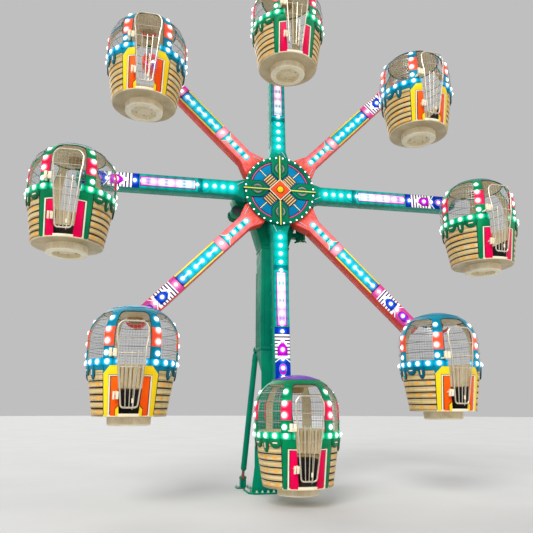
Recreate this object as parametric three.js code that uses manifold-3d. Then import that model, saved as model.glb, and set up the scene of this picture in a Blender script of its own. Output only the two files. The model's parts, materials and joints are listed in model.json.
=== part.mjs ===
// A compact one-sided fairground ferris wheel. A bolted steel mast carries a hub with eight box arms, and
// a round cage cabin hangs level in front of each arm's tip.
// Millimetres, +Z up, the wheel's face looks towards -Y, and the origin is the middle of the base
// flange's underside. Cabins and arms are numbered anticlockwise, seen from the front, from the right.
import * as THREE from 'three';
import { ConvexGeometry } from 'three/addons/geometries/ConvexGeometry.js';
import { mergeVertices } from 'three/addons/utils/BufferGeometryUtils.js';
import Module from 'manifold-3d';

const wasm = await Module();
wasm.setup();

// Wheel
const ARM_COUNT = 8;
const HUB_HEIGHT = 6250;
const PIVOT_RADIUS = 4140;
const WHEEL_PHASE = THREE.MathUtils.degToRad(0.84);
const SEAT_GAP = 0.3;

// Arms: a box beam with a flared root, its front face in the plane y = ARM_FRONT
const ARM_FRONT = -675;
const ARM_DEPTH = 300;
const ARM_HALF_WIDTH = 165;
const FLARE_RADIUS = 800;
const GREEN_FLARE = { rootHalf: 200, halfWidth: 215, end: 960 };
const CORAL_FLARE = { rootHalf: 240, halfWidth: 280, end: 1080 };
const HUB_APOTHEM = 600;
const SHAFT_RADIUS = 55;

// Hub and its face disc
const DISC_RADIUS = 780;
const DISC_THICKNESS = 40;
const BEARING_RADIUS = 450;
const BEARING_BORE = 300;

// Cabin, measured from the middle of its waist ring, with the door towards -Y
const CABIN_FORWARD = 1007;
const PIVOT_ABOVE_RING = 920;
const RING_RADIUS = 800;
const RING_INNER = 725;
const RING_LOW = -65;
const RING_TOP = 55;
const TUB_TOP_RADIUS = 752;
const TUB_FLOOR_RADIUS = 620;
const TUB_BOTTOM = -870;
const FLOOR_THICKNESS = 40;
const TUB_WALL = 28;
const DRUM_RADIUS = 365;
const DRUM_DEPTH = 147;
const BENCH_TOP = -400;
const BENCH_REACH = 560;
const FOOTWELL_HALF = 300;
const FOOTWELL_BACK = 170;
const CAGE_RADIUS = 790;
const DOME_START = 400;
const DOME_TOP = 1030;
const DOME_POWER = 2.1;
const RIB_SETBACK = 4;
const RIB_DEPTH = 28;
const RIB_WIDTH = 184;
const RIB_ANGLES = [29.4, 90, 150, 210, 270, 330.6];
const ROOF_LOW = 845;
const ROOF_HEIGHTS = [ROOF_LOW, 930, 995];
const ROOF_WALL = 38;
const HOOP_HEIGHTS = [330];
const HOOP_SIZE = 18;
const HOOP_SIDES = 12;
const HOUSING_RADIUS = 88;
const HOUSING_BORE = 61;
const HOUSING_BACK = 480;
const HOUSING_CAP_RADIUS = 108;
const HOUSING_CAP_BACK = -95;
const HOUSING_CAP_FRONT = -118;
const AROUND = 24;

// Door and doorway of a cabin
const DOORWAY_FLOOR_HALF = 170;
const DOORWAY_WAIST_HALF = 235;
const DOORWAY_HEAD_HALF = 305;
const HINGE_TOP = new THREE.Vector3(-285, -822, 100);
const HINGE_LOW = new THREE.Vector3(-205, -722, -500);
const STILE_FROM_HINGE = 40;
const DOOR_TUBE = 34;
const DOOR_BOTTOM = -725;
const DOOR_HEAD = 640;
const DOOR_HEAD_HALF = 250;
const DOOR_HEAD_FRONT = -800;
const KNUCKLE_RADIUS = 17;
const KNUCKLE_HALF = 28;
const PINTLE_LENGTH = 36;
const DOOR_BAR = 20;

// Mast
const MAST_FRONT = -255;
const MAST_BACK = 295;
const MAST_HALF_WIDTH = 310;
const HEAD_LOW = HUB_HEIGHT - 1150;
const HEAD_WAIST = [470, -640];
const SHOULDER_LOW = [620, -420];
const SHOULDER_HIGH = [900, -200];
const UPPER_MAST_LOW = 2810;
const TAPER_LOW = 2360;
const LOWER_HALF_FRONT = 300;
const LOWER_HALF_BACK = 190;
const LOWER_BACK = 225;
const FLANGE_THICKNESS = 32;
const FLANGE_HALF_WIDTH = 560;
const FLANGE_HALF_DEPTH = 395;
const FLANGE_CHAMFER = 120;

// Level sections of the lower column: half width in front, half width behind, back and height
const FOOT_SECTION = [480, 330, 300];
const ANKLE_SECTION = [430, 290, 260];
const COLUMN_SECTION = [LOWER_HALF_FRONT, LOWER_HALF_BACK, LOWER_BACK];
const SLEEVE_SECTION = [MAST_HALF_WIDTH, MAST_HALF_WIDTH, MAST_BACK];
const LOWER_MAST_SECTIONS = [
  [...FOOT_SECTION, FLANGE_THICKNESS + SEAT_GAP],
  [...FOOT_SECTION, 105],
  [...ANKLE_SECTION, 500],
  [...ANKLE_SECTION, 1050],
  [...COLUMN_SECTION, 1950],
  [...COLUMN_SECTION, TAPER_LOW],
  [...SLEEVE_SECTION, UPPER_MAST_LOW],
];

// The right half of the mast head in the front view, its heights measured from the hub
const HEAD_OUTLINE = [
  [MAST_HALF_WIDTH, HEAD_LOW - HUB_HEIGHT], HEAD_WAIST, SHOULDER_LOW, SHOULDER_HIGH, [950, 0],
  [820, 240], [560, 420], [260, 560],
];

// Rear props, each with a pad on the column, an eye at its rod's end and a clevis on the ground
const PROP_RADIUS = 62;
const PROP_TOP = new THREE.Vector3(290, 370, 2870);
const PROP_FOOT = new THREE.Vector3(510, 590, 250);
const PROP_ROD_RADIUS = 30;
const PROP_PAD = { halfWidth: 60, below: 90, above: 70 };
const PROP_EYE = { halfWidth: 34, halfDepth: 45, below: 95, above: 10 };
const CLEVIS_PLATE = { halfWidth: 150, halfDepth: 120, thickness: 26 };
const CLEVIS_CHEEK = { thickness: 25, halfDepth: 70, top: 235 };
const CLEVIS_BLOCK_HALF_DEPTH = 60;

// Drives under the head's shoulders
const LEFT_DRIVE_RADIUS = 122;
const LEFT_DRIVE_STANDOFF = 30;
const LEFT_DRIVE_ENDS = [-330, 120];
const LEFT_DRIVE_ALONG = 0.62;
const LEFT_FOOT = { baseHalf: 95, topHalf: 70, sink: 60, ends: [-190, 90] };
const RIGHT_DRIVE_RADIUS = 105;
const RIGHT_DRIVE_PLACE = [640, -800];
const RIGHT_DRIVE_HEIGHT = 330;
const RIGHT_DRIVE_BACK = -60;
const RIGHT_DRIVE_RIM = { wider: 35, thickness: 36 };
const RIGHT_BRACKET = { below: 70, above: 30, ends: [-150, 30] };

const paint = {
  green: new THREE.MeshStandardMaterial({ color: 0x0a8f56, roughness: 0.4, metalness: 0.1 }),
  coral: new THREE.MeshStandardMaterial({ color: 0xe8594a, roughness: 0.4, metalness: 0.1 }),
  blue: new THREE.MeshStandardMaterial({ color: 0x1487c4, roughness: 0.35, metalness: 0.1 }),
  gold: new THREE.MeshStandardMaterial({ color: 0xc9ab72, roughness: 0.35, metalness: 0.4 }),
  steel: new THREE.MeshStandardMaterial({ color: 0xc8c4ba, roughness: 0.35, metalness: 0.8 }),
  grey: new THREE.MeshStandardMaterial({ color: 0x6b7278, roughness: 0.5, metalness: 0.6 }),
};

// A closed geometry as a solid whose faces point out.
function solid(geometry) {
  const loose = geometry.index ? geometry.toNonIndexed() : geometry.clone();
  loose.deleteAttribute('normal');
  loose.deleteAttribute('uv');
  const merged = mergeVertices(loose, 1e-3);
  const position = merged.attributes.position;
  const corner = [new THREE.Vector3(), new THREE.Vector3(), new THREE.Vector3()];
  const triangles = [];
  let volume = 0;
  for (let i = 0; i < merged.index.count; i += 3) {
    const ids = [0, 1, 2].map((step) => merged.index.getX(i + step));
    if (new Set(ids).size < 3) continue;
    ids.forEach((id, n) => corner[n].fromBufferAttribute(position, id));
    volume += corner[0].dot(corner[1].clone().cross(corner[2]));
    triangles.push(ids);
  }
  if (volume < 0) triangles.forEach((ids) => ids.reverse());
  return new wasm.Manifold(new wasm.Mesh({
    numProp: 3,
    vertProperties: new Float32Array(position.array),
    triVerts: new Uint32Array(triangles.flat()),
  }));
}

const join = (...solids) => solids.flat().reduce((all, next) => all.add(next));

function box([x0, y0, z0], [x1, y1, z1]) {
  const geometry = new THREE.BoxGeometry(x1 - x0, y1 - y0, z1 - z0);
  return solid(geometry.translate((x0 + x1) / 2, (y0 + y1) / 2, (z0 + z1) / 2));
}

const hull = (points) => solid(new ConvexGeometry(points.map((p) => new THREE.Vector3(...p))));

// A closed profile of [radius, height] points turned about +Z.
function turned(profile, around = AROUND) {
  const points = profile.map(([radius, height]) => new THREE.Vector2(radius, height));
  return solid(new THREE.LatheGeometry(points, around).rotateX(Math.PI / 2));
}

// A round bar along +Y from y0 to y1.
function barAlongY(radius, y0, y1, x, z, around = 12) {
  const geometry = new THREE.CylinderGeometry(radius, radius, y1 - y0, around);
  return solid(geometry.translate(x, (y0 + y1) / 2, z));
}

// A bar between two points, round or with few sides.
function bar(from, to, radius, sides = 8) {
  const along = to.clone().sub(from);
  const geometry = new THREE.CylinderGeometry(radius, radius, along.length(), sides);
  const turn = new THREE.Quaternion().setFromUnitVectors(new THREE.Vector3(0, 1, 0), along.normalize());
  const middle = from.clone().add(to).multiplyScalar(0.5);
  return solid(geometry.applyQuaternion(turn).translate(middle.x, middle.y, middle.z));
}

// An outline of [x, z] points in the front view, from y0 back to y1.
function plate(outline, y0, y1) {
  const shape = new THREE.Shape(outline.map(([x, z]) => new THREE.Vector2(x, z)));
  const geometry = new THREE.ExtrudeGeometry(shape, { depth: y1 - y0, bevelEnabled: false });
  return solid(geometry.rotateX(Math.PI / 2).translate(0, y1, 0));
}

const mirrored = (half) => [...half, ...half.map(([x, z]) => [-x, z]).reverse()];

function piece(name, body, material) {
  const mesh = body.getMesh();
  const geometry = new THREE.BufferGeometry();
  geometry.setAttribute('position', new THREE.Float32BufferAttribute(mesh.vertProperties, 3));
  geometry.setIndex(new THREE.Uint32BufferAttribute(mesh.triVerts, 1));
  geometry.computeVertexNormals();
  const result = new THREE.Mesh(geometry, material);
  result.name = name;
  return result;
}

// Mast: flange, foot with its lower column, upper column, head, rear props and drives
function baseFlange() {
  const [w, d, c] = [FLANGE_HALF_WIDTH, FLANGE_HALF_DEPTH, FLANGE_CHAMFER];
  const corners = [[w, d - c], [w - c, d]].flatMap(([x, y]) => [[x, y], [-x, y], [x, -y], [-x, -y]]);
  return hull(corners.flatMap(([x, y]) => [[x, y, 0], [x, y, FLANGE_THICKNESS]]));
}

function lowerMast() {
  const levels = LOWER_MAST_SECTIONS.map(([front, back, backY, z]) => [
    [front, MAST_FRONT, z], [-front, MAST_FRONT, z], [back, backY, z], [-back, backY, z],
  ]);
  return join(levels.slice(1).map((level, i) => hull([...levels[i], ...level])));
}

function upperMast() {
  const low = UPPER_MAST_LOW + SEAT_GAP;
  return box([-MAST_HALF_WIDTH, MAST_FRONT, low], [MAST_HALF_WIDTH, MAST_BACK, HEAD_LOW - SEAT_GAP]);
}

function mastHead() {
  const outline = mirrored(HEAD_OUTLINE).map(([x, z]) => [x, z + HUB_HEIGHT]);
  return plate(outline, MAST_FRONT, MAST_BACK);
}

function slewingRing() {
  const back = MAST_FRONT - SEAT_GAP;
  const front = ARM_FRONT + ARM_DEPTH + SEAT_GAP;
  const profile = [
    [BEARING_BORE, front], [BEARING_RADIUS, front], [BEARING_RADIUS, back], [BEARING_BORE, back],
    [BEARING_BORE, front],
  ];
  const points = profile.map(([radius, along]) => new THREE.Vector2(radius, along));
  return solid(new THREE.LatheGeometry(points, AROUND).translate(0, 0, HUB_HEIGHT));
}

// A rear prop with its bare rod end, from the upper column's back down to its foot.
function prop(side) {
  const flip = new THREE.Vector3(side, 1, 1);
  const top = PROP_TOP.clone().multiply(flip);
  const foot = PROP_FOOT.clone().multiply(flip);
  const shoulder = foot.clone().lerp(top, 0.035);
  const rodEnd = foot.clone().lerp(top, 0.06);
  const padBack = PROP_TOP.y + PROP_RADIUS * 0.6;
  const { halfWidth, below, above } = PROP_PAD;
  const eye = PROP_EYE;
  return join(
    bar(shoulder, top, PROP_RADIUS, 12),
    bar(foot, rodEnd, PROP_ROD_RADIUS, 8),
    box([top.x - halfWidth, MAST_BACK + SEAT_GAP, top.z - below], [top.x + halfWidth, padBack, top.z + above]),
    box(
      [foot.x - eye.halfWidth, foot.y - eye.halfDepth, foot.z - eye.below],
      [foot.x + eye.halfWidth, foot.y + eye.halfDepth, foot.z + eye.above],
    ),
  );
}

// The green clevis that a prop's rod stands in.
function propFoot(side) {
  const x = PROP_FOOT.x * side;
  const y = PROP_FOOT.y;
  const base = CLEVIS_PLATE;
  const { thickness, halfDepth, top } = CLEVIS_CHEEK;
  const low = base.thickness / 2;
  const inside = PROP_EYE.halfWidth + 1 + SEAT_GAP;
  const outside = inside + thickness;
  const middle = inside + thickness / 2;
  const blockTop = PROP_FOOT.z - PROP_EYE.below - SEAT_GAP;
  const depth = CLEVIS_BLOCK_HALF_DEPTH;
  const { halfWidth, thickness: plateTop } = base;
  return join(
    box([x - halfWidth, y - base.halfDepth, 0], [x + halfWidth, y + base.halfDepth, plateTop]),
    box([x - outside, y - halfDepth, low], [x - inside, y + halfDepth, top]),
    box([x + inside, y - halfDepth, low], [x + outside, y + halfDepth, top]),
    box([x - middle, y - depth, low], [x + middle, y + depth, blockTop]),
  );
}

// A drive under the head's left shoulder: a motor along Y on a foot that sits on the shoulder's edge.
function leftDrive() {
  const low = new THREE.Vector2(-SHOULDER_LOW[0], SHOULDER_LOW[1]);
  const high = new THREE.Vector2(-SHOULDER_HIGH[0], SHOULDER_HIGH[1]);
  const along = high.clone().sub(low).normalize();
  const out = new THREE.Vector2(-along.y, along.x);
  const reach = LEFT_DRIVE_RADIUS + LEFT_DRIVE_STANDOFF;
  const middle = low.clone().lerp(high, LEFT_DRIVE_ALONG).addScaledVector(out, reach);
  const corner = (side, up) => middle.clone().addScaledVector(along, side).addScaledVector(out, -up);
  const { baseHalf, topHalf, sink, ends } = LEFT_FOOT;
  const seat = reach - SEAT_GAP;
  const foot = [
    corner(-baseHalf, seat), corner(baseHalf, seat), corner(topHalf, sink), corner(-topHalf, sink),
  ];
  const lift = (v) => [v.x, v.y + HUB_HEIGHT];
  return join(
    barAlongY(LEFT_DRIVE_RADIUS, ...LEFT_DRIVE_ENDS, ...lift(middle), 16),
    plate(foot.map(lift), ...ends),
  );
}

// The drive under the right shoulder stands on a bracket on the head's slanting side.
function rightDrive() {
  const [x, fromHub] = RIGHT_DRIVE_PLACE;
  const z = HUB_HEIGHT + fromHub;
  const rimRadius = RIGHT_DRIVE_RADIUS + RIGHT_DRIVE_RIM.wider;
  const post = new THREE.CylinderGeometry(RIGHT_DRIVE_RADIUS, RIGHT_DRIVE_RADIUS, RIGHT_DRIVE_HEIGHT, 16);
  const rim = new THREE.CylinderGeometry(rimRadius, rimRadius, RIGHT_DRIVE_RIM.thickness, 16);
  const slant = (HEAD_WAIST[0] - MAST_HALF_WIDTH) / (HEAD_WAIST[1] + HUB_HEIGHT - HEAD_LOW);
  const clear = SEAT_GAP * Math.hypot(1, slant);
  const side = (height) => MAST_HALF_WIDTH + slant * (height - HEAD_LOW) + clear;
  const [low, high] = [z - RIGHT_BRACKET.below, z + RIGHT_BRACKET.above];
  const bracket = [[side(low), low], [x, low], [x, high], [side(high), high]];
  return join(
    solid(post.rotateX(Math.PI / 2).translate(x, RIGHT_DRIVE_BACK, z)),
    solid(rim.rotateX(Math.PI / 2).translate(x, RIGHT_DRIVE_BACK, z - RIGHT_DRIVE_HEIGHT / 2)),
    plate(bracket, ...RIGHT_BRACKET.ends),
  );
}

// Wheel: octagonal hub, face disc and arms
function wheelHub() {
  const corner = HUB_APOTHEM / Math.cos(Math.PI / ARM_COUNT);
  const geometry = new THREE.CylinderGeometry(corner, corner, ARM_DEPTH, ARM_COUNT);
  return solid(geometry.rotateY(Math.PI / ARM_COUNT).translate(0, ARM_DEPTH / 2, 0));
}

function hubDisc() {
  const back = -SEAT_GAP;
  const front = back - DISC_THICKNESS;
  return barAlongY(DISC_RADIUS, front, back, 0, 0, 32);
}

// An arm along +X with its shaft towards -Y, drawn about the hub's middle.
function arm(flare) {
  const half = [
    [HUB_APOTHEM + SEAT_GAP, flare.rootHalf], [FLARE_RADIUS, flare.halfWidth],
    [flare.end, ARM_HALF_WIDTH], [PIVOT_RADIUS + 20, ARM_HALF_WIDTH],
    [PIVOT_RADIUS + 120, ARM_HALF_WIDTH * 0.6],
  ];
  const outline = [...half, ...half.map(([r, w]) => [r, -w]).reverse()];
  const tip = -CABIN_FORWARD + HOUSING_CAP_BACK + SEAT_GAP;
  return join(
    plate(outline, 0, ARM_DEPTH),
    barAlongY(SHAFT_RADIUS, tip, 20, PIVOT_RADIUS, 0, 12),
    barAlongY(SHAFT_RADIUS + 50, -70, 20, PIVOT_RADIUS, 0, 12),
  );
}

// Cabin tub: a tapered shell with its floor, moulded bench and the drum under the floor
function tub() {
  const top = RING_LOW - SEAT_GAP;
  const floor = TUB_BOTTOM + FLOOR_THICKNESS;
  const taper = (TUB_TOP_RADIUS - TUB_FLOOR_RADIUS) / (top - TUB_BOTTOM);
  const seatRadius = TUB_FLOOR_RADIUS + taper * (BENCH_TOP - TUB_BOTTOM) - TUB_WALL;
  const shell = turned([
    [0, TUB_BOTTOM - DRUM_DEPTH], [DRUM_RADIUS, TUB_BOTTOM - DRUM_DEPTH], [DRUM_RADIUS, TUB_BOTTOM],
    [TUB_FLOOR_RADIUS, TUB_BOTTOM], [TUB_TOP_RADIUS, top], [TUB_TOP_RADIUS - TUB_WALL, top],
    [seatRadius, BENCH_TOP], [0, BENCH_TOP],
  ]);
  const footwell = box([-FOOTWELL_HALF, -RING_RADIUS, floor], [FOOTWELL_HALF, FOOTWELL_BACK, BENCH_TOP + 10]);
  const well = footwell.intersect(turned([
    [0, floor], [BENCH_REACH, floor], [BENCH_REACH, BENCH_TOP + 10], [0, BENCH_TOP + 10],
  ], 12));
  return shell.subtract(well).subtract(doorway(floor)).add(hingePintle(HINGE_LOW, [-275, -610]));
}

// The space of the doorway, from the given height up to just above the waist ring.
function doorway(low) {
  const outline = [
    [DOORWAY_FLOOR_HALF, low], [DOORWAY_WAIST_HALF, RING_LOW], [DOORWAY_WAIST_HALF, RING_TOP + 10],
  ];
  return plate(mirrored(outline), -RING_RADIUS - 100, -DRUM_RADIUS - 80);
}

// Cabin cage: waist ring, hoops, six ribs, domed roof and the bearing housing under it
function cageRadius(z) {
  if (z <= DOME_START) return CAGE_RADIUS;
  const rise = ((z - DOME_START) / (DOME_TOP - DOME_START)) ** DOME_POWER;
  return CAGE_RADIUS * (1 - rise) ** (1 / DOME_POWER);
}

function rib(angle) {
  const heights = [RING_TOP - 10, DOME_START, 600, 750, ROOF_LOW + 12];
  const outer = heights.map((z) => [cageRadius(z) - RIB_SETBACK, z]);
  const inner = outer.map(([r, z]) => [r - RIB_DEPTH, z]).reverse();
  const body = plate([...outer, ...inner], -RIB_WIDTH / 2, RIB_WIDTH / 2);
  return body.rotate([0, 0, angle - 90]);
}

function hoop(z) {
  const outer = cageRadius(z) - RIB_SETBACK - 4;
  const inner = outer - HOOP_SIZE;
  const [low, high] = [z - HOOP_SIZE / 2, z + HOOP_SIZE / 2];
  const profile = [[inner, low], [outer, low], [outer, high], [inner, high], [inner, low]];
  return turned(profile, HOOP_SIDES);
}

function roof() {
  const outer = ROOF_HEIGHTS.map((z) => [cageRadius(z), z]);
  const [edge, low] = outer[0];
  return turned([[0, DOME_TOP - ROOF_WALL * 2], [edge - ROOF_WALL, low], ...outer, [0, DOME_TOP]]);
}

function cage() {
  const ring = turned([
    [RING_INNER, RING_LOW], [RING_RADIUS, RING_LOW], [RING_RADIUS, RING_TOP], [RING_INNER, RING_TOP],
    [RING_INNER, RING_LOW],
  ]);
  const [low, high] = [RING_TOP + 20, ROOF_LOW - 20];
  const doorGap = box([-DOORWAY_HEAD_HALF, -RING_RADIUS - 20, low], [DOORWAY_HEAD_HALF, -300, high]);
  const housing = join(
    barAlongY(HOUSING_RADIUS, HOUSING_CAP_BACK, HOUSING_BACK, 0, PIVOT_ABOVE_RING),
    barAlongY(HOUSING_CAP_RADIUS, HOUSING_CAP_FRONT, HOUSING_CAP_BACK + 10, 0, PIVOT_ABOVE_RING),
  );
  const bore = barAlongY(HOUSING_BORE, HOUSING_CAP_BACK, HOUSING_BACK + 150, 0, PIVOT_ABOVE_RING);
  const bars = join(HOOP_HEIGHTS.map(hoop)).subtract(doorGap);
  const frame = join(ring.subtract(doorway(RING_LOW - 10)), bars, RIB_ANGLES.map(rib), roof());
  return join(frame, housing).subtract(bore).add(hingePintle(HINGE_TOP, [-335, -680]));
}

// Door: a tubular frame bent at the waist, with its hinge knuckles on the left
const hingeAxis = HINGE_TOP.clone().sub(HINGE_LOW).normalize();
const alongHinge = (z) => HINGE_LOW.clone().addScaledVector(hingeAxis, (z - HINGE_LOW.z) / hingeAxis.z);

// The fixed half of a hinge: a pintle under the knuckle and its lug back to the cabin's wall.
function hingePintle(hinge, [wallX, wallY]) {
  const top = hinge.clone().addScaledVector(hingeAxis, -KNUCKLE_HALF - SEAT_GAP);
  const bottom = top.clone().addScaledVector(hingeAxis, -PINTLE_LENGTH);
  const lug = [top.z - PINTLE_LENGTH * 0.85, top.z - PINTLE_LENGTH * 0.3];
  return join(
    bar(bottom, top, KNUCKLE_RADIUS, 6),
    hull(lug.flatMap((z) => [
      [bottom.x - 14, bottom.y, z], [bottom.x + 10, bottom.y, z],
      [wallX - 20, wallY, z], [wallX + 20, wallY, z],
    ])),
  );
}

function knuckle(hinge) {
  const top = hinge.clone().addScaledVector(hingeAxis, KNUCKLE_HALF);
  const bottom = hinge.clone().addScaledVector(hingeAxis, -KNUCKLE_HALF);
  const [x, y, z] = hinge.toArray();
  const strap = box([x, y - 9, z - 20], [x + STILE_FROM_HINGE, y + 9, z + 20]);
  return join(bar(bottom, top, KNUCKLE_RADIUS, 6), strap);
}

// A flat frame of the door between two heights, leaning from the bend, with a row of openings.
function doorFrame([lowHalf, highHalf], [low, high], lean, openings) {
  const inner = [low + DOOR_TUBE, high - DOOR_TUBE];
  const halfAt = (z) => lowHalf + (highHalf - lowHalf) * (z - low) / (high - low);
  const outside = [[lowHalf, low], [highHalf, high], [-highHalf, high], [-lowHalf, low]];
  const frame = plate(outside, -DOOR_TUBE / 2, DOOR_TUBE / 2);
  const gap = DOOR_BAR / 2;
  const cuts = [...Array(openings).keys()].map((n) => {
    const edges = (z) => [n, n + 1].map((m) => (2 * m / openings - 1) * (halfAt(z) - DOOR_TUBE + gap));
    const [[l0, r0], [l1, r1]] = inner.map(edges);
    const outline = [[l0 + gap, inner[0]], [r0 - gap, inner[0]], [r1 - gap, inner[1]], [l1 + gap, inner[1]]];
    return plate(outline, -DOOR_TUBE, DOOR_TUBE);
  });
  const leaf = cuts.reduce((left, cut) => left.subtract(cut), frame);
  return leaf.rotate([THREE.MathUtils.radToDeg(lean), 0, 0]);
}

function doorLeaf() {
  const lean = Math.atan2(HINGE_LOW.y - HINGE_TOP.y, HINGE_TOP.z - HINGE_LOW.z);
  const lowEnd = (DOOR_BOTTOM - HINGE_TOP.z) / Math.cos(lean);
  const halfAt = (z) => DOOR_TUBE / 2 - STILE_FROM_HINGE - alongHinge(z).x;
  const bend = halfAt(HINGE_TOP.z);
  const half = DOOR_TUBE / 2;
  const lower = doorFrame([halfAt(DOOR_BOTTOM), bend], [lowEnd, half], lean, 3);
  const rise = DOOR_HEAD - HINGE_TOP.z;
  const upperLean = -Math.atan2(DOOR_HEAD_FRONT - HINGE_TOP.y, rise);
  const upper = doorFrame([bend, DOOR_HEAD_HALF + half], [-half, rise], upperLean, 2);
  const leaf = join(lower, upper).translate([0, HINGE_TOP.y, HINGE_TOP.z]);
  return join(leaf, knuckle(HINGE_TOP), knuckle(HINGE_LOW));
}

const wheel = new THREE.Group();

wheel.add(piece('base_flange', baseFlange(), paint.green));
wheel.add(piece('lower_mast', lowerMast(), paint.green));
wheel.add(piece('upper_mast', upperMast(), paint.green));
wheel.add(piece('mast_head', mastHead(), paint.green));
wheel.add(piece('slewing_ring', slewingRing(), paint.grey));
wheel.add(piece('left_drive', leftDrive(), paint.green));
wheel.add(piece('right_drive', rightDrive(), paint.green));
for (const [side, sign] of [['left', -1], ['right', 1]]) {
  wheel.add(piece(`${side}_prop`, prop(sign), paint.green));
  wheel.add(piece(`${side}_prop_foot`, propFoot(sign), paint.green));
}

const rotor = new THREE.Group();
rotor.position.set(0, ARM_FRONT, HUB_HEIGHT);
rotor.rotation.y = -WHEEL_PHASE;
rotor.add(piece('wheel_hub', wheelHub(), paint.green));
rotor.add(piece('hub_disc', hubDisc(), paint.green));
const greenArm = arm(GREEN_FLARE);
const coralArm = arm(CORAL_FLARE);
for (let number = 1; number <= ARM_COUNT; number += 1) {
  const spoke = new THREE.Group();
  spoke.rotation.y = -(number - 1) * (2 * Math.PI) / ARM_COUNT;
  const arms = number % 2 ? [greenArm, paint.green] : [coralArm, paint.coral];
  spoke.add(piece(`arm_${number}`, ...arms));
  rotor.add(spoke);
}
wheel.add(rotor);

const tubSolid = tub();
const cageSolid = cage();
const doorSolid = doorLeaf();
for (let number = 1; number <= ARM_COUNT; number += 1) {
  const angle = WHEEL_PHASE + (number - 1) * (2 * Math.PI) / ARM_COUNT;
  const pivotX = PIVOT_RADIUS * Math.cos(angle);
  const pivotZ = HUB_HEIGHT + PIVOT_RADIUS * Math.sin(angle);
  const cabin = new THREE.Group();
  cabin.position.set(pivotX, ARM_FRONT - CABIN_FORWARD, pivotZ - PIVOT_ABOVE_RING);
  cabin.add(piece(`cabin_${number}_tub`, tubSolid, paint.gold));
  cabin.add(piece(`cabin_${number}_cage`, cageSolid, number % 2 ? paint.green : paint.blue));
  cabin.add(piece(`cabin_${number}_door`, doorSolid, paint.steel));
  wheel.add(cabin);
}

export default wheel;
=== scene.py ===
"""A compact one-sided fairground ferris wheel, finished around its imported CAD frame.

Metres, +Z up, the wheel's face looks towards -Y. A cabin's own pieces are modelled once for each of the two
colour schemes, about the middle of its waist ring, and are then set at every pivot of the wheel.
"""
import json
import math

import bmesh
import bpy
from bmesh.types import BMFace, BMVert
from mathutils import Matrix, Vector


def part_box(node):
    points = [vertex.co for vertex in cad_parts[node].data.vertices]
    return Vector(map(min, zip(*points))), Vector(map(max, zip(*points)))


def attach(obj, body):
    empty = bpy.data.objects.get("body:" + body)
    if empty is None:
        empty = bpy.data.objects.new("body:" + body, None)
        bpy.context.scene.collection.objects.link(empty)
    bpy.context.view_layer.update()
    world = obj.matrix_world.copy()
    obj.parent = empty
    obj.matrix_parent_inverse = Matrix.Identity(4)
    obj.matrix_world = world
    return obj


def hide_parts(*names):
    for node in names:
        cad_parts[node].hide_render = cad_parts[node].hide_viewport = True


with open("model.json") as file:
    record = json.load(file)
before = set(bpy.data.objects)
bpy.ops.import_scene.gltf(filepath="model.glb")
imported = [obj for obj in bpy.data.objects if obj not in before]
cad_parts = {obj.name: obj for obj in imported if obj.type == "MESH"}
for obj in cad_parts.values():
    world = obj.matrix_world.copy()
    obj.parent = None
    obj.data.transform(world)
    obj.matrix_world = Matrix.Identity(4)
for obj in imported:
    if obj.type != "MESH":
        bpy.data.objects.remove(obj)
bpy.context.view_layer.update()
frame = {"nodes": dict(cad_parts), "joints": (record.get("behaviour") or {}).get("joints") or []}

# Camera, fitted to the ends of the waist rings and tubs and the lines of the arms in the photograph
CAMERA_PLACE = Vector((-2.680, -11.479, 1.635))
CAMERA_YAW = math.radians(12.49)
CAMERA_PITCH = math.radians(14.61)
CAMERA_ROLL = math.radians(0.12)
CAMERA_LENS = 36.64

# Wheel
HUB = Vector(next(j["pos_m"] for j in frame["joints"] if j["name"] == "wheel_turn"))
ARM_COUNT = 8
ARM_PITCH = math.tau / ARM_COUNT
ARM_DEPTH = 0.3
ARM_HALF_WIDTH = 0.165
FLARE_RADIUS = 0.8
GREEN_FLARE = (0.2, 0.215, 0.96)
CORAL_FLARE = (0.24, 0.28, 1.08)
HUB_APOTHEM = 0.6
PIVOT_RADIUS = 4.14
SHAFT_RADIUS = 0.055
LAMP_RADIUS = 0.035
LAMP_HEIGHT = 0.026
ARM_LAMP_FIRST = 1.06
ARM_LAMP_PITCH = 0.185
ARM_LAMPS = 17

# Hub disc
DISC_RADIUS = 0.78
DISC_RIM_INNER = 0.672
DISC_THICKNESS = 0.04
DISC_LAMPS = 32
DISC_LAMP_CIRCLE = 0.76
DISC_LAMP_RADIUS = 0.0175

# Cabin, measured from the middle of its waist ring, its door towards -Y
PIVOT_ABOVE_RING = 0.92
SKIN_RADIUS = 0.772
RING_RADIUS = 0.774
RING_INNER = 0.725
RING_LOW = -0.065
RING_TOP = 0.055
RING_MIDDLE = (RING_LOW + RING_TOP) / 2
RING_LAMP_STEP = math.radians(15)
TUB_TOP_RADIUS = 0.752
TUB_FLOOR_RADIUS = 0.62
TUB_BOTTOM = -0.87
TUB_WALL = 0.028
SKIN_GAP = 0.012
FLOOR_TOP = TUB_BOTTOM + 0.04
BENCH_TOP = -0.4
DRUM_RADIUS = 0.365
DRUM_BOTTOM = -1.017
DRUM_RECESS = 0.243
CAGE_RADIUS = 0.79
DOME_START = 0.4
DOME_TOP = 1.03
DOME_POWER = 2.1
CAP_LOW = 0.93
RIB_THICKNESS = 0.028
RIB_HALF_WIDTH = 0.092
RIB_ANGLES = [math.radians(a) for a in (29.4, 90, 150, -150, -90, -29.4)]
RIB_LAMP_ANGLES = [math.radians(a) for a in (31.7, 90, 150, -150, -90, -31.7)]
BAY_HALF = math.radians(30)
ROOF_LOW = 0.845
WINDOW_CORNER = 0.06
ACCENT_LOW = 0.245
ACCENT_HIGH = 0.56
RIB_LAMP_FIRST = 0.135
RIB_LAMP_PITCH = 0.193
RIB_LAMPS = 4
RIB_LAMP_RADIUS = 0.04
HOOPS = (0.21, 0.39, 0.56, 0.7)
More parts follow.
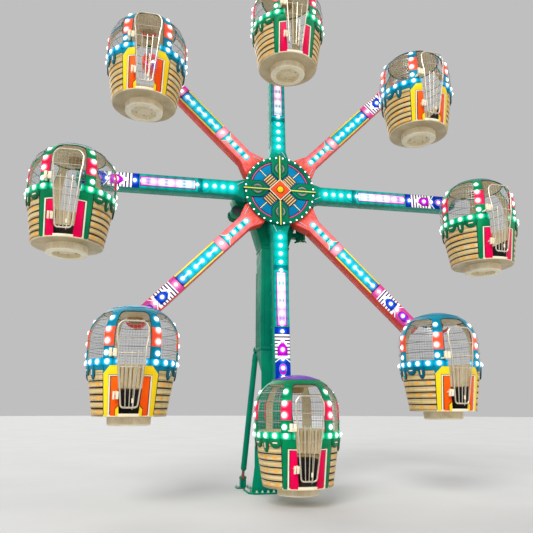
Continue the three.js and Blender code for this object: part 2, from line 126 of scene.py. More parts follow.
NET_CELL = 0.052
NET_WIRE = 0.004

# Doorway and door
RING_GAP_HALF = 0.243
DOORWAY_WAIST_HALF = 0.218
DOORWAY_FLOOR_HALF = 0.152
DOOR_BEND = 0.1
DOOR_BEND_FRONT = -0.822
DOOR_LEAN = 0.1 / 0.6
DOOR_HEAD = 0.64
DOOR_HEAD_FRONT = -0.8
DOOR_BOTTOM = -0.725
DOOR_SIDE = ((DOOR_BOTTOM, 0.13), (DOOR_BEND, 0.212), (0.25, 0.222), (0.36, 0.245), (DOOR_HEAD, 0.245))
DOOR_TUBE_RADIUS = 0.014
HINGES = (Vector((-0.285, -0.822, 0.1)), Vector((-0.205, -0.722, -0.5)))
HINGE_AXIS = (HINGES[0] - HINGES[1]).normalized()
KNUCKLE_RADIUS = 0.017
KNUCKLE_HALF = 0.028

# Door surround in the front view: (half width at the waist, half width at the floor)
SURROUND_OUTER = (0.445, 0.388)
SURROUND_INNER = (0.354, 0.332)
LINE_OUTER = (0.348, 0.326)
LINE_INNER = (0.325, 0.303)
PANEL_OUTER = (0.312, 0.288)
SURROUND_TOP = -0.21
LINE_WIDTH = 0.018
PANEL_TOP = -0.245

# Tub siding
GROOVE_FIRST = -0.305
GROOVE_PITCH = 0.109
GROOVES = 5
GROOVE_HALF = 0.0105
PLEAT_PITCH = 0.048


# Finishes
def screen_colour(red, green, blue):
    """A screen colour from 0 to 255 as the linear one a shader takes."""
    def linear(value):
        value /= 255
        return value / 12.92 if value <= 0.04045 else ((value + 0.055) / 1.055) ** 2.4
    return (linear(red), linear(green), linear(blue))


def scaled(colour, amount):
    return tuple(amount * c for c in colour)


class Finish:
    """A material in the making. A tint colours its highlights, as a deep transparent paint does."""

    def __init__(self, name, roughness, metallic=0.0, coat=0.0, specular=0.3, tint=None):
        self.material = bpy.data.materials.new(name)
        self.material.use_nodes = True
        self.material.cycles.emission_sampling = "NONE"
        self.tree = self.material.node_tree
        self.shader = self.tree.nodes["Principled BSDF"]
        self.give("Metallic", metallic)
        self.give("Roughness", roughness)
        self.give("Specular IOR Level", specular)
        self.give("Coat Weight", coat)
        self.give("Coat Roughness", 0.1)
        if tint:
            self.give("Specular Tint", tuple(0.1 + 0.9 * c / max(tint) for c in tint))

    def feed(self, socket, value):
        """Gives a socket a number, a colour or another node's output."""
        if isinstance(value, (int, float)):
            socket.default_value = value
        elif isinstance(value, tuple):
            socket.default_value = (*value, 1.0)
        else:
            self.tree.links.new(value, socket)

    def give(self, slot, value):
        self.feed(self.shader.inputs[slot], value)

    def node(self, kind, inputs, **settings):
        made = self.tree.nodes.new("ShaderNode" + kind)
        for name, value in settings.items():
            setattr(made, name, value)
        for key, value in inputs.items():
            self.feed(made.inputs[key], value)
        return made

    def coordinates(self, kind, scale=None):
        """A coordinate output, stretched by a Mapping node where a scale is given."""
        source = self.node("TexCoord", {}).outputs[kind]
        if scale is None:
            return source
        mapping = self.node("Mapping", {"Vector": source})
        mapping.inputs["Scale"].default_value = scale
        return mapping.outputs["Vector"]

    def map_axes(self):
        """The two directions of a piece's own UV map, in metres."""
        split = self.node("SeparateXYZ", {0: self.coordinates("UV")})
        return split.outputs["X"], split.outputs["Y"]

    def noise(self, scale, detail, stretch=None, kind="Object"):
        vector = self.coordinates(kind, stretch)
        return self.node("TexNoise", {"Scale": scale, "Detail": detail, "Vector": vector}).outputs["Fac"]

    def remap(self, value, low, high, to_low=0.0, to_high=1.0, smooth=False):
        inputs = {"Value": value, "From Min": low, "From Max": high, "To Min": to_low, "To Max": to_high}
        interpolation = "SMOOTHSTEP" if smooth else "LINEAR"
        return self.node("MapRange", inputs, interpolation_type=interpolation).outputs["Result"]

    def patches(self, scale, detail, span, to=(0.0, 1.0), stretch=None, kind="Object"):
        """Noise whose span of values is spread over another."""
        return self.remap(self.noise(scale, detail, stretch, kind), *span, *to)

    def calc(self, operation, first, second):
        return self.node("Math", {0: first, 1: second}, operation=operation).outputs[0]

    def blend(self, amount, first, second):
        """Two colours mixed by an amount; each is a colour or another node's output."""
        return self.node("Mix", {0: amount, 6: first, 7: second}, data_type="RGBA").outputs[2]

    def relief(self, height, strength, distance):
        inputs = {"Strength": strength, "Distance": distance, "Height": height}
        self.give("Normal", self.node("Bump", inputs).outputs["Normal"])

    def uneven_gloss(self, scale, detail, low, high, stretch=None):
        self.give("Roughness", self.patches(scale, detail, (0.3, 0.7), (low, high), stretch))

    def lamp_halo(self, glow, strength, first, pitch, across, reach, fade_in=False):
        """The light of a row of lamps on what they stand on: white close to a lamp, coloured further out."""
        x, y = self.map_axes()
        along = self.calc("PINGPONG", self.calc("SUBTRACT", x, first), pitch / 2)
        aside = self.calc("SUBTRACT", y, across)
        squares = self.calc("ADD", self.calc("MULTIPLY", along, along), self.calc("MULTIPLY", aside, aside))
        away = self.node("Math", {0: squares}, operation="SQRT").outputs[0]
        core = self.remap(away, LAMP_RADIUS, LAMP_RADIUS * 1.7, 1.0, 0.0, smooth=True)
        wide = self.remap(away, LAMP_RADIUS * 0.8, reach, 1.0, 0.0, smooth=True)
        power = self.calc("MULTIPLY", wide, strength)
        if fade_in:
            started = self.remap(x, first - 0.95 * pitch, first - 0.3 * pitch, smooth=True)
            power = self.calc("MULTIPLY", power, started)
        self.give("Emission Strength", power)
        self.give("Emission Color", self.blend(core, glow, (1.0, 1.0, 1.0)))


def gloss_paint(name, colour, deep, roughness=0.34, grime=0.22, halo=None):
    """Sprayed gloss paint: drift to a deeper shade, dust run down by rain, orange peel and uneven gloss."""
    made = Finish(name, roughness, specular=0.36, tint=colour)
    painted = made.blend(made.patches(1.7, 4.0, (0.35, 0.68)), colour, deep)
    streaks = made.patches(5.0, 5.0, (0.54, 0.8), (0.0, grime), (2.4, 2.4, 0.3))
    dusty = tuple(0.55 * c + 0.02 for c in deep)
    made.give("Base Color", made.blend(streaks, painted, dusty))
    made.uneven_gloss(9.0, 6.0, roughness * 0.8, roughness * 1.45)
    made.relief(made.noise(140.0, 2.0), 0.06, 0.002)
    if halo:
        made.lamp_halo(*halo)
    return made.material


def lamp_at(step):
    """The distance from the hub of a place on an arm, given in lamps from its first lamp."""
    return ARM_LAMP_FIRST + ARM_LAMP_PITCH * step


def arm_halo(glow, strength, reach=0.13):
    return (glow, strength, ARM_LAMP_FIRST, ARM_LAMP_PITCH, 0.0, reach, True)


def lit_panel(name, colour, glow, strength, reach):
    """A printed and varnished arm panel, lit by the row of lamps along its middle."""
    return gloss_paint(name, colour, scaled(colour, 0.82), 0.3, 0.06, arm_halo(glow, strength, reach))


def brushed_panel(name, colour, stroke, glow, strength, reach):
    """A lit arm panel whose root carries long brushed strokes of a deeper colour."""
    made = Finish(name, 0.3)
    x, _ = made.map_axes()
    strokes = made.patches(1.0, 4.0, (0.46, 0.62), (0.0, 0.85), (5.0, 30.0, 1.0), "UV")
    near_hub = made.remap(x, lamp_at(-0.2), lamp_at(1.4), 1.0, 0.0, smooth=True)
    made.give("Base Color", made.blend(made.calc("MULTIPLY", strokes, near_hub), colour, stroke))
    made.relief(made.noise(140.0, 2.0), 0.05, 0.002)
    made.lamp_halo(*arm_halo(glow, strength, reach))
    return made.material


def fading_panel(name, near, middle, far, spans, glow, strength):
    """A lit arm panel whose print runs from one colour near the hub through another to a third outwards."""
    made = Finish(name, 0.3)
    x, _ = made.map_axes()
    first, second = [made.remap(x, lamp_at(start), lamp_at(end), smooth=True) for start, end in spans]
    print_colour = made.blend(second, made.blend(first, near, middle), far)
    speck = made.patches(40.0, 4.0, (0.5, 0.8), (0.0, 0.2))
    made.give("Base Color", made.blend(speck, print_colour, middle))
    made.relief(made.noise(140.0, 2.0), 0.05, 0.002)
    made.lamp_halo(*arm_halo(glow, strength))
    return made.material


def siding_paint(name):
    """Airbrushed boards: golden beige with fine level streaks, and warm highlights on every other board."""
    made = Finish(name, 0.34, 0.1)
    x, y = made.map_axes()
    board = made.calc("DIVIDE", made.calc("SUBTRACT", GROOVE_FIRST, y), GROOVE_PITCH)
    sheen = made.remap(made.calc("PINGPONG", board, 0.5), 0.08, 0.4, smooth=True)
    base = made.blend(sheen, screen_colour(140, 104, 54), screen_colour(212, 180, 108))
    streak = made.patches(3.0, 3.0, (0.44, 0.6), (0.0, 0.6), (0.4, 0.4, 30.0))
    streaked = made.blend(streak, base, screen_colour(248, 234, 190))
    own_board = made.node("Math", {0: made.calc("MAXIMUM", board, -0.5)}, operation="FLOOR").outputs[0]
    golden_board = made.calc("SUBTRACT", 1.0, made.calc("PINGPONG", own_board, 1.0))
    sweep = made.remap(made.calc("PINGPONG", x, 0.13), 0.04, 0.11, 0.0, 0.9, smooth=True)
    warm = made.calc("MULTIPLY", made.calc("MULTIPLY", golden_board, sweep), sheen)
    golden = made.blend(warm, streaked, screen_colour(250, 176, 62))
    dust = made.patches(6.0, 6.0, (0.52, 0.8), (0.0, 0.3), (2.0, 2.0, 0.35))
    made.give("Base Color", made.blend(dust, golden, screen_colour(112, 90, 58)))
    made.uneven_gloss(14.0, 5.0, 0.26, 0.46)
    made.relief(made.noise(90.0, 2.0), 0.05, 0.002)
    return made.material


def gelcoat(name, colour, shade, roughness=0.36):
    """Moulded glass fibre with a cloudy gel coat, faint scuffs and dust in its hollows."""
    made = Finish(name, roughness)
    cloudy = made.blend(made.patches(3.0, 6.0, (0.35, 0.7)), colour, shade)
    scuff = made.patches(22.0, 8.0, (0.58, 0.75), (0.0, 0.45), (1.0, 1.0, 0.4))
    made.give("Base Color", made.blend(scuff, cloudy, scaled(shade, 0.6)))
    made.uneven_gloss(11.0, 6.0, roughness * 0.8, roughness * 1.5)
    made.relief(made.noise(60.0, 3.0), 0.08, 0.002)
    return made.material


def pleated(name, colour, shade):
    """A coarse cover gathered into upright pleats, uneven from one to the next, with painted light on their
    ridges and painted shade in their folds.
    """
    made = Finish(name, 0.7)
    x, _ = made.map_axes()
    ridge = made.remap(made.calc("PINGPONG", x, PLEAT_PITCH / 2), 0.0, PLEAT_PITCH / 2, smooth=True)
    uneven = made.patches(7.0, 4.0, (0.35, 0.65), (0.25, 1.0), (1.0, 1.0, 0.15))
    height = made.calc("MULTIPLY", ridge, uneven)
    # Painted light on the ridges and painted shade in the folds, besides the bump below
    fold_light_and_shade = made.blend(height, shade, colour)
    dust = made.patches(9.0, 6.0, (0.5, 0.8), (0.0, 0.4))
    made.give("Base Color", made.blend(dust, fold_light_and_shade, scaled(shade, 0.6)))
    made.relief(height, 0.35, 0.005)
    return made.material


def metal(name, colour, stain, roughness=0.32, staining=0.4, metallic=0.9):
    """Rolled or plated steel with patchy stains and fine drawn scratches."""
    made = Finish(name, roughness, metallic, specular=0.5)
    stains = made.patches(8.0, 7.0, (0.5, 0.75), (0.0, staining))
    made.give("Base Color", made.blend(stains, colour, stain))
    made.uneven_gloss(30.0, 5.0, roughness * 0.7, roughness * 1.6, (1.0, 1.0, 0.2))
    made.relief(made.noise(220.0, 3.0, (1.0, 1.0, 0.15)), 0.12, 0.001)
    return made.material


def lamp_glass(name, strength):
    """A lit white cabochon, a little uneven between its flutes."""
    white = (1.0, 1.0, 1.0)
    made = Finish(name, 0.15, coat=0.3)
    made.give("Emission Color", made.blend(made.patches(60.0, 2.0, (0.35, 0.65)), white, white))
    made.give("Base Color", white)
    made.give("Emission Strength", strength)
    return made.material


# Colours of the lamps' light, then paints that several finishes share
CYAN = screen_colour(0, 212, 224)
MINT = screen_colour(20, 226, 170)
SKY = screen_colour(0, 178, 236)
VIOLET = screen_colour(90, 60, 255)
AZURE = screen_colour(60, 130, 255)
ORCHID = screen_colour(240, 60, 250)
ROSE_WHITE = screen_colour(255, 226, 236)
GREEN = ((0, 136, 84), (0, 104, 66))
ARM_GREEN = ((0, 150, 128), (0, 122, 102))
BLUE = ((0, 134, 160), (0, 100, 124))


def ring_halo(glow):
    return (glow, 1.0, 0.0, RING_RADIUS * RING_LAMP_STEP, RING_MIDDLE, 0.13)


def rib_halo(glow):
    return (glow, 0.9, RIB_LAMP_FIRST, RIB_LAMP_PITCH, 0.0, 0.085)


# Rows of a key, the material's name, its colour and deeper shade on screen, and further settings
PAINTS = (
    ("green", "green_gloss", *GREEN, {}),
    ("arm_green", "arm_green", *ARM_GREEN, {}),
    ("mast_green", "mast_green", (0, 134, 98), (0, 104, 86), {"roughness": 0.4, "grime": 0.35}),
    ("ring_green", "ring_green", *GREEN, {"halo": ring_halo(MINT)}),
    ("rib_green", "rib_green", *GREEN, {"grime": 0.1, "halo": rib_halo(MINT)}),
    ("coral", "coral_gloss", (246, 88, 70), (232, 62, 48), {}),
    ("blue", "blue_gloss", *BLUE, {}),
    ("ring_blue", "ring_blue", *BLUE, {"halo": ring_halo(SKY)}),
    ("rib_blue", "rib_blue", *BLUE, {"grime": 0.1, "halo": rib_halo(SKY)}),
    ("pink", "pink_gloss", (250, 4, 88), (218, 0, 66), {"grime": 0.1}),
    ("rib_pink", "rib_pink", (246, 30, 84), (222, 12, 66), {"grime": 0.1, "halo": rib_halo(ROSE_WHITE)}),
    ("orange", "orange_gloss", (254, 100, 16), (242, 72, 12), {"grime": 0.1}),
    ("rib_orange", "rib_orange", (254, 94, 58), (240, 70, 40), {"grime": 0.1, "halo": rib_halo(ROSE_WHITE)}),
    ("yellow", "yellow_gloss", (254, 226, 40), (248, 204, 20), {"grime": 0.16}),
    ("lemon", "lemon_line", (240, 240, 120), (222, 216, 84), {"grime": 0.05}),
    # painted reflection: the violet for the green cabins' roof caps stands in for the magenta light of the
    # arms' lamps on them
    ("plum", "plum_gloss", (118, 44, 176), (70, 38, 156), {"grime": 0.08}),
    ("hub_blue", "hub_blue", (0, 136, 186), (0, 108, 158), {"grime": 0.08}),
    ("rose", "rose_line", (206, 104, 150), (186, 86, 130), {"grime": 0.05}),
    ("diamond", "diamond_orange", (252, 100, 48), (244, 78, 40), {"grime": 0.05}),
    ("crescent", "crescent_grey", (156, 148, 146), (132, 126, 126), {"grime": 0.05}),
    ("hub_green", "hub_green", (0, 124, 88), (0, 100, 74), {"grime": 0.1}),
    # painted shade: the brown under the hub's ribbed bars, showing as dark edges round their pale tops
    ("bronze", "bronze_edge", (178, 122, 84), (146, 92, 62), {"grime": 0.05}),
    ("gold_bar", "gold_bar", (238, 224, 164), (220, 184, 118), {"grime": 0.05}),
    ("panel_teal", "panel_teal", *ARM_GREEN, {"halo": arm_halo(CYAN, 0.95, 0.2)}),
)
MOULDINGS = (
    ("cream", "cream_gelcoat", (240, 226, 192), (220, 202, 160), {}),
    ("ivory", "ivory_trim", (248, 240, 214), (234, 220, 184), {"roughness": 0.3}),
    # painted shade: a darker copy of the gel coat, for the tub's flat underside round the drum
    ("sand", "sand_gelcoat", (206, 190, 154), (178, 160, 122), {"roughness": 0.4}),
    ("tan", "tan_liner", (186, 158, 110), (148, 120, 80), {"roughness": 0.42}),
    # black: ink for the printed outlines, and the tub's skin behind boards and panels, which paints the shade
    # in their grooves and gaps
    ("black", "black_gap", (12, 11, 14), (26, 23, 24), {"roughness": 0.6}),
    # near-black: painted shade on the benches' risers under the seat, and the footwell mat's ribs
    ("well", "dark_footwell", (36, 34, 40), (54, 46, 42), {"roughness": 0.6}),
    ("collar", "lamp_collar", (210, 226, 228), (180, 200, 204), {"roughness": 0.35}),
)
METALS = (
    ("wire", "bright_wire", (184, 188, 186), (120, 118, 108), {"roughness": 0.3}),
    ("door", "door_steel", (222, 214, 194), (160, 146, 120), {"roughness": 0.3}),
    ("dark_steel", "dark_steel", (70, 78, 82), (44, 42, 40), {"roughness": 0.42}),
    ("rust", "rusty_steel", (142, 100, 72), (92, 46, 22),
     {"roughness": 0.62, "staining": 0.9, "metallic": 0.4}),
    ("bolt", "bright_bolt", (222, 226, 222), (170, 170, 160), {"roughness": 0.24, "staining": 0.2}),
)
# Rows of a key, which is the material's name too, its screen colour, glow, strength and reach
LIT_PANELS = (
    ("panel_deep", (0, 116, 116), CYAN, 0.6, 0.13),
    ("panel_rose", (248, 138, 160), ROSE_WHITE, 0.6, 0.16),
    ("panel_berry", (228, 72, 164), ROSE_WHITE, 0.5, 0.12),
    ("panel_blue", (6, 52, 190), AZURE, 0.8, 0.11),
    ("panel_magenta", (200, 0, 210), ORCHID, 0.8, 0.1),
    ("panel_white", (250, 242, 250), (1.0, 0.94, 1.0), 0.5, 0.26),
    ("panel_ink", (26, 18, 66), VIOLET, 0.1, 0.08),
)
FINISHES = {
    "siding": siding_paint("gold_siding"),
    "skirt": pleated("pleated_skirt", screen_colour(255, 246, 222), screen_colour(216, 194, 154)),
    "panel_cyan": fading_panel("panel_cyan", screen_colour(0, 176, 196), screen_colour(0, 170, 204),
                               screen_colour(46, 40, 186), ((5, 6), (9.1, 10.4)), CYAN, 0.9),
    "panel_fade": fading_panel("panel_fade", screen_colour(170, 236, 242), screen_colour(232, 190, 240),
                               screen_colour(214, 34, 200), ((4.6, 7.0), (7.6, 10.2)), ROSE_WHITE, 0.7),
    "panel_coral": brushed_panel("panel_coral", screen_colour(246, 106, 94), screen_colour(226, 44, 26),
                                 ROSE_WHITE, 0.3, 0.19),
    "lamp": lamp_glass("lamp_white", 2.6),
}
for make, rows in ((gloss_paint, PAINTS), (gelcoat, MOULDINGS), (metal, METALS)):
    for key, name, colour, shade, more in rows:
        FINISHES[key] = make(name, screen_colour(*colour), screen_colour(*shade), **more)
for key, colour, *light in LIT_PANELS:
    FINISHES[key] = lit_panel(key, screen_colour(*colour), *light)


# Modelling
def polar(radius, angle, height):
    """A point about the cabin's axis; angles run from the door towards +X."""
    return Vector((radius * math.sin(angle), -radius * math.cos(angle), height))


def mark(faces, number):
    for face in faces:
        face.material_index = number


def in_order(parts):
    """Each part once, in the order met."""
    return list(dict.fromkeys(parts))


def faces_of(verts):
    return in_order(face for vert in verts for face in vert.link_faces)


def verts_of(faces):
    return in_order(vert for face in faces if face.is_valid for vert in face.verts)


def parts_of(faces):
    return in_order(part for face in faces if face.is_valid for part in (face, *face.edges, *face.verts))


def added(bm, before):
    """The faces of a mesh that weren't there before."""
    return [face for face in bm.faces if face not in before]


def among(out, kind):
    """What an operator gave back of one kind of element."""
    return [part for part in out["geom"] if isinstance(part, kind)]


def bevel(bm, parts, width, segments=2, affect="EDGES"):
    bmesh.ops.bevel(bm, geom=parts, offset=width, offset_type="OFFSET", segments=segments, profile=0.5,
                    affect=affect, material=-1, clamp_overlap=True)


def sheet(bm, columns, rows, place_at):
    """A grid whose points are placed by their shares across and up, both from -1 to 1."""
    verts = bmesh.ops.create_grid(bm, x_segments=columns, y_segments=rows, size=1)["verts"]
    for vert in verts:
        vert.co = place_at(vert.co.x, vert.co.y)
    return faces_of(verts)


def weave(bm, faces, wire):
    """Turns the edges of faces into a welded wire net."""
    bmesh.ops.wireframe(bm, faces=faces, thickness=wire, use_replace=True, use_boundary=True,
                        use_even_offset=True)


def crisp(outline, near=0.0015):
    """An outline with extra points close to the ends of its long sides, so that flat faces shade flat."""
    made = []
    for (r0, z0), (r1, z1) in zip(outline, outline[1:]):
        length = math.hypot(r1 - r0, z1 - z0)
        made.append((r0, z0))
        if length > 10 * near:
            share = near / length
            made += [(r0 + (r1 - r0) * t, z0 + (z1 - z0) * t) for t in (share, 1 - share)]
    made.append(outline[-1])
    return made


def turn(bm, outline, number=0, start=0.0, sweep=math.tau, steps=48):
    """A closed outline of (radius, height) points turned about the cabin's axis."""
    before = set(bm.faces)
    verts = [bm.verts.new(polar(radius, start, height)) for radius, height in outline]
    whole = sweep > math.tau - 1e-6
    edges = [bm.edges.new(pair) for pair in zip(verts, verts[1:] + verts[:1])]
    geometry = verts + edges + ([] if whole else [bm.faces.new(verts)])
    bmesh.ops.spin(bm, geom=geometry, cent=(0, 0, 0), axis=(0, 0, 1), dvec=(0, 0, 0), angle=sweep,
                   steps=steps, use_merge=whole)
    bmesh.ops.remove_doubles(bm, verts=verts_of(added(bm, before)), dist=1e-5)
    made = added(bm, before)
    mark(made, number)
    return made


def prism(bm, points, shift, number=0, corner=0.0, edge=0.0):
    """A flat outline, rounded at its corners, thickened by a shift and broken along its first rim."""
    before = set(bm.faces)
    verts = [bm.verts.new(p) for p in points]
    face = bm.faces.new(verts)
    if corner:
        bevel(bm, verts, corner, 4, "VERTICES")
        face = added(bm, before)[0]
    rim = list(face.edges)
    out = bmesh.ops.extrude_face_region(bm, geom=[face])
    bmesh.ops.translate(bm, verts=among(out, BMVert), vec=shift)
    if edge:
        bevel(bm, [e for e in rim if e.is_valid], edge)
    made = added(bm, before)
    mark(made, number)
    return made


def plate(bm, outline, front, back, number=0, corner=0.0, edge=0.0):
    """An outline of (x, z) points in the front view, thickened from front to back."""
    return prism(bm, [(x, front, z) for x, z in outline], (0, back - front, 0), number, corner, edge)


def both_sides(half):
    """An outline of (x, z) points closed by its mirror image below."""
    return half + [(x, -z) for x, z in reversed(half)]


def both_ends(half):
    """An outline of (x, z) points closed by its mirror image to the side."""
    return half + [(-x, z) for x, z in reversed(half)]


def slab(bm, outline, top, low, number=0, edge=0.0):
    """An outline of (x, y) points seen from above, thickened from its top down."""
    return prism(bm, [(x, y, top) for x, y in outline], (0, 0, low - top), number, edge=edge)


def block(bm, low, high, number=0, edge=0.0):
    low, high = Vector(low), Vector(high)
    before = set(bm.faces)
    place = Matrix.Translation((low + high) / 2) @ Matrix.Diagonal((*(high - low), 1))
    out = bmesh.ops.create_cube(bm, size=1, matrix=place)
    if edge:
        bevel(bm, in_order(e for v in out["verts"] for e in v.link_edges), edge)
    made = added(bm, before)
    mark(made, number)
    return made


def facing(place, outward):
    """A frame at a point with its Z along a direction."""
    return Matrix.Translation(place) @ Vector(outward).to_track_quat("Z", "Y").to_matrix().to_4x4()


def cone(bm, place, depth, radius, end_radius, number, sides):
    out = bmesh.ops.create_cone(bm, cap_ends=True, segments=sides, radius1=radius, radius2=end_radius,
                                depth=depth, matrix=place)
    mark(faces_of(out["verts"]), number)


def rod(bm, start, end, radius, number=0, sides=8, end_radius=None):
    """A round bar, which may narrow or widen to another radius at its end."""
    start, end = Vector(start), Vector(end)
    place = facing((start + end) / 2, end - start)
    cone(bm, place, (end - start).length, radius, end_radius or radius, number, sides)


# A bolt's washer, hexagon nut and stud: start and end in its radius, width in its radius, sides
BOLT_PARTS = ((0, 0.15, 1.3, 14), (0.1, 0.95, 1.0, 6), (0.9, 1.5, 0.52, 8))


def bolt(bm, place, outward, radius, number=0):
    place, outward = Vector(place), Vector(outward).normalized() * radius
    for low, high, size, sides in BOLT_PARTS:
        rod(bm, place + outward * low, place + outward * high, radius * size, number, sides)


def oval(x, half_length, half_width, count=24, z=0.0):
    angles = [math.tau * n / count for n in range(count)]
    return [(x + half_length * math.cos(a), z + half_width * math.sin(a)) for a in angles]


def bolt_circle(bm, middle, spread, count, outward, radius, number=1):
    """Bolts round a middle point on a face that looks along Y or Z."""
    for across, up in oval(0, spread, spread, count):
        aside = (across, up, 0) if outward[2] else (across, 0, up)
        bolt(bm, Vector(middle) + Vector(aside), outward, radius, number)


def pipe(bm, route, radius, number=0, sides=8):
    """A round tube along a route, closed at its ends."""
    route = [Vector(p) for p in route]
    heads = [route[1] - route[0]]
    heads += [(b - a).normalized() + (c - b).normalized() for a, b, c in zip(route, route[1:], route[2:])]
    heads.append(route[-1] - route[-2])
    turnings = [heads[0].to_track_quat("Z", "Y")]
    for before, after in zip(heads, heads[1:]):
        turnings.append(before.rotation_difference(after) @ turnings[-1])
    frames = [Matrix.Translation(p) @ q.to_matrix().to_4x4() for p, q in zip(route, turnings)]
    out = bmesh.ops.create_circle(bm, cap_ends=True, segments=sides, radius=radius, matrix=frames[0])
    cap = faces_of(out["verts"])[0]
    made = [cap]
    for step, (here, there) in enumerate(zip(frames, frames[1:])):
        out = bmesh.ops.extrude_face_region(bm, geom=[cap])
        if step:
            bmesh.ops.delete(bm, geom=[cap], context="FACES_ONLY")
        verts = among(out, BMVert)
        cap = among(out, BMFace)[0]
        bmesh.ops.transform(bm, verts=verts, matrix=there @ here.inverted())
        made += faces_of(verts)
    mark([face for face in made if face.is_valid], number)


def softened(route, radius, steps=5):
    """A route whose inner corners are rounded."""
    route = [Vector(p) for p in route]
    made = [route[0]]
    for before, here, after in zip(route, route[1:], route[2:]):
        into, out = (before - here), (after - here)
        reach = min(radius, into.length / 2, out.length / 2)
        start, end = here + into.normalized() * reach, here + out.normalized() * reach
        for n in range(steps + 1):
            t = n / steps
            made.append(start.lerp(here, t).lerp(here.lerp(end, t), t))
    made.append(route[-1])
    return made


LENS_SIDES = 10
# A lamp's collar: how far it stands out, and its radius at foot and rim in the lens's own
COLLAR_TOP = 0.006
COLLAR_FOOT = 1.18
COLLAR_RIM = 1.05


def dome(bm, place, half_sizes, number, sides, rows):
    """A ball stretched to its half sizes in a place's own frame."""
    shape = place @ Matrix.Diagonal((*half_sizes, 1))
    out = bmesh.ops.create_uvsphere(bm, u_segments=sides, v_segments=rows, radius=1, matrix=shape)
    mark(faces_of(out["verts"]), number)


def lamp(bm, place, outward, radius=LAMP_RADIUS, height=LAMP_HEIGHT, socket=0.012):
    """A cabochon lamp: a domed lens, finish 0, on a collar, finish 1, that reaches back by its socket."""
    at = facing(place, outward)
    collar = at @ Matrix.Translation((0, 0, COLLAR_TOP - socket / 2))
    cone(bm, collar, socket, radius * COLLAR_FOOT, radius * COLLAR_RIM, 1, LENS_SIDES)
    dome(bm, at, (radius, radius, height), 0, LENS_SIDES, LENS_SIDES // 2)


def cut_upright(bm, faces, places):
    """Cuts faces by upright planes, so that they can follow a round wall."""
    for x in places:
        out = bmesh.ops.bisect_plane(bm, geom=parts_of(faces), dist=1e-6, plane_co=(x, 0, 0),
                                     plane_no=(1, 0, 0))
        faces = in_order(among(out, BMFace) + [face for face in faces if face.is_valid])
    return faces


def angle_of(point):
    return math.atan2(point.x, -point.y)


def half_turns(angle, home):
    """An angle brought within half a turn of another."""
    return home + (angle - home + math.pi) % math.tau - math.pi


def unwrap(bm, name, place_at):
    """A UV map in metres. A point's place in it may depend on the angle of its face's middle."""
    layer = bm.loops.layers.uv.new(name)
    for face in bm.faces:
        home = angle_of(face.calc_center_median())
        for loop in face.loops:
            loop[layer].uv = place_at(loop.vert.co, home)


def round_place(point, home):
    """Along the waist ring from the door, and height."""
    return (half_turns(angle_of(point), home) * RING_RADIUS, point.z)


def rib_place(point, home):
    """Height, and the distance across a rib from its line of lamps."""
    lamps = min(RIB_LAMP_ANGLES, key=lambda angle: abs(half_turns(angle, home) - home))
    across = half_turns(angle_of(point), lamps) - lamps
    return (point.z, across * math.hypot(point.x, point.y))


def arm_place(point, home):
    """Along the arm from the hub, and across it."""
    return (point.x, point.z)


def mesh_of(bm, name, finishes, smooth=35):
    """Ends a bmesh: normals out, smooth where its faces meet gently, with its finishes in order."""
    bmesh.ops.delete(bm, geom=[edge for edge in bm.edges if not edge.link_faces], context="EDGES")
    bmesh.ops.delete(bm, geom=[vert for vert in bm.verts if not vert.link_faces], context="VERTS")
    bmesh.ops.recalc_face_normals(bm, faces=bm.faces)
    for face in bm.faces:
        face.smooth = True
    for edge in bm.edges:
        edge.smooth = len(edge.link_faces) == 2 and edge.calc_face_angle(math.pi) < math.radians(smooth)
    mesh = bpy.data.meshes.new(name)
    bm.to_mesh(mesh)
    bm.free()
    for key in finishes:
        mesh.materials.append(FINISHES[key])
    return mesh


def show(thing, name):
    """Puts a mesh, light or camera into the scene as an object."""
    made = bpy.data.objects.new(name, thing)
    bpy.context.scene.collection.objects.link(made)
    return made


def stand(name, mesh, body, slot, place=None, nodes=()):
    """Sets a copy of a finished mesh in its place, as a piece that rides on a body."""
    own = mesh.copy()
    own.name = name
    if place is not None:
        own.transform(place)
    piece = show(own, name)
    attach(piece, body)
    if nodes:
        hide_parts(*nodes)


# Cabin
def tub_radius(height):
    share = (height - TUB_BOTTOM) / (RING_LOW - TUB_BOTTOM)
    return TUB_FLOOR_RADIUS + (TUB_TOP_RADIUS - TUB_FLOOR_RADIUS) * share


def dome_radius(height, inset=CAGE_RADIUS - SKIN_RADIUS):
    if height <= DOME_START:
        return CAGE_RADIUS - inset
    rise = min(1.0, (height - DOME_START) / (DOME_TOP - DOME_START)) ** DOME_POWER
    return max(0.0, CAGE_RADIUS * (1 - rise) ** (1 / DOME_POWER) - inset)


def rib_half_angle(height):
    """Half the width of a rib, which spreads at its top to round the corners of the windows."""
    into_corner = max(0.0, height - (ROOF_LOW - WINDOW_CORNER))
    spread = WINDOW_CORNER - math.sqrt(max(0.0, WINDOW_CORNER ** 2 - into_corner ** 2))
    return RIB_HALF_WIDTH / SKIN_RADIUS + spread / dome_radius(height)


def inwards(vert, depth):
    """Moves a vertex of the cage's skin towards the inside."""
    middle = Vector((0, 0, min(vert.co.z, DOME_START)))
    vert.co += (middle - vert.co).normalized() * depth


def on_wall(bm, faces, cuts):
    """Cuts front-view faces upright and lays them on the tub's round wall; their depth goes into it."""
    for vert in verts_of(cut_upright(bm, faces, cuts)):
        x, depth, z = vert.co
        angle = math.asin(max(-1.0, min(1.0, x / tub_radius(z))))
        vert.co = polar(tub_radius(z) - depth, angle, z)


def round_wall(bm, faces, cuts, middle):
    """Lays faces drawn about a middle angle on the tub's wall, their x measured along the waist."""
    for vert in verts_of(cut_upright(bm, faces, cuts)):
        x, depth, z = vert.co
        radius = 0.35 * TUB_TOP_RADIUS + 0.65 * tub_radius(z)
        vert.co = polar(radius - depth, middle + x / TUB_TOP_RADIUS, z)


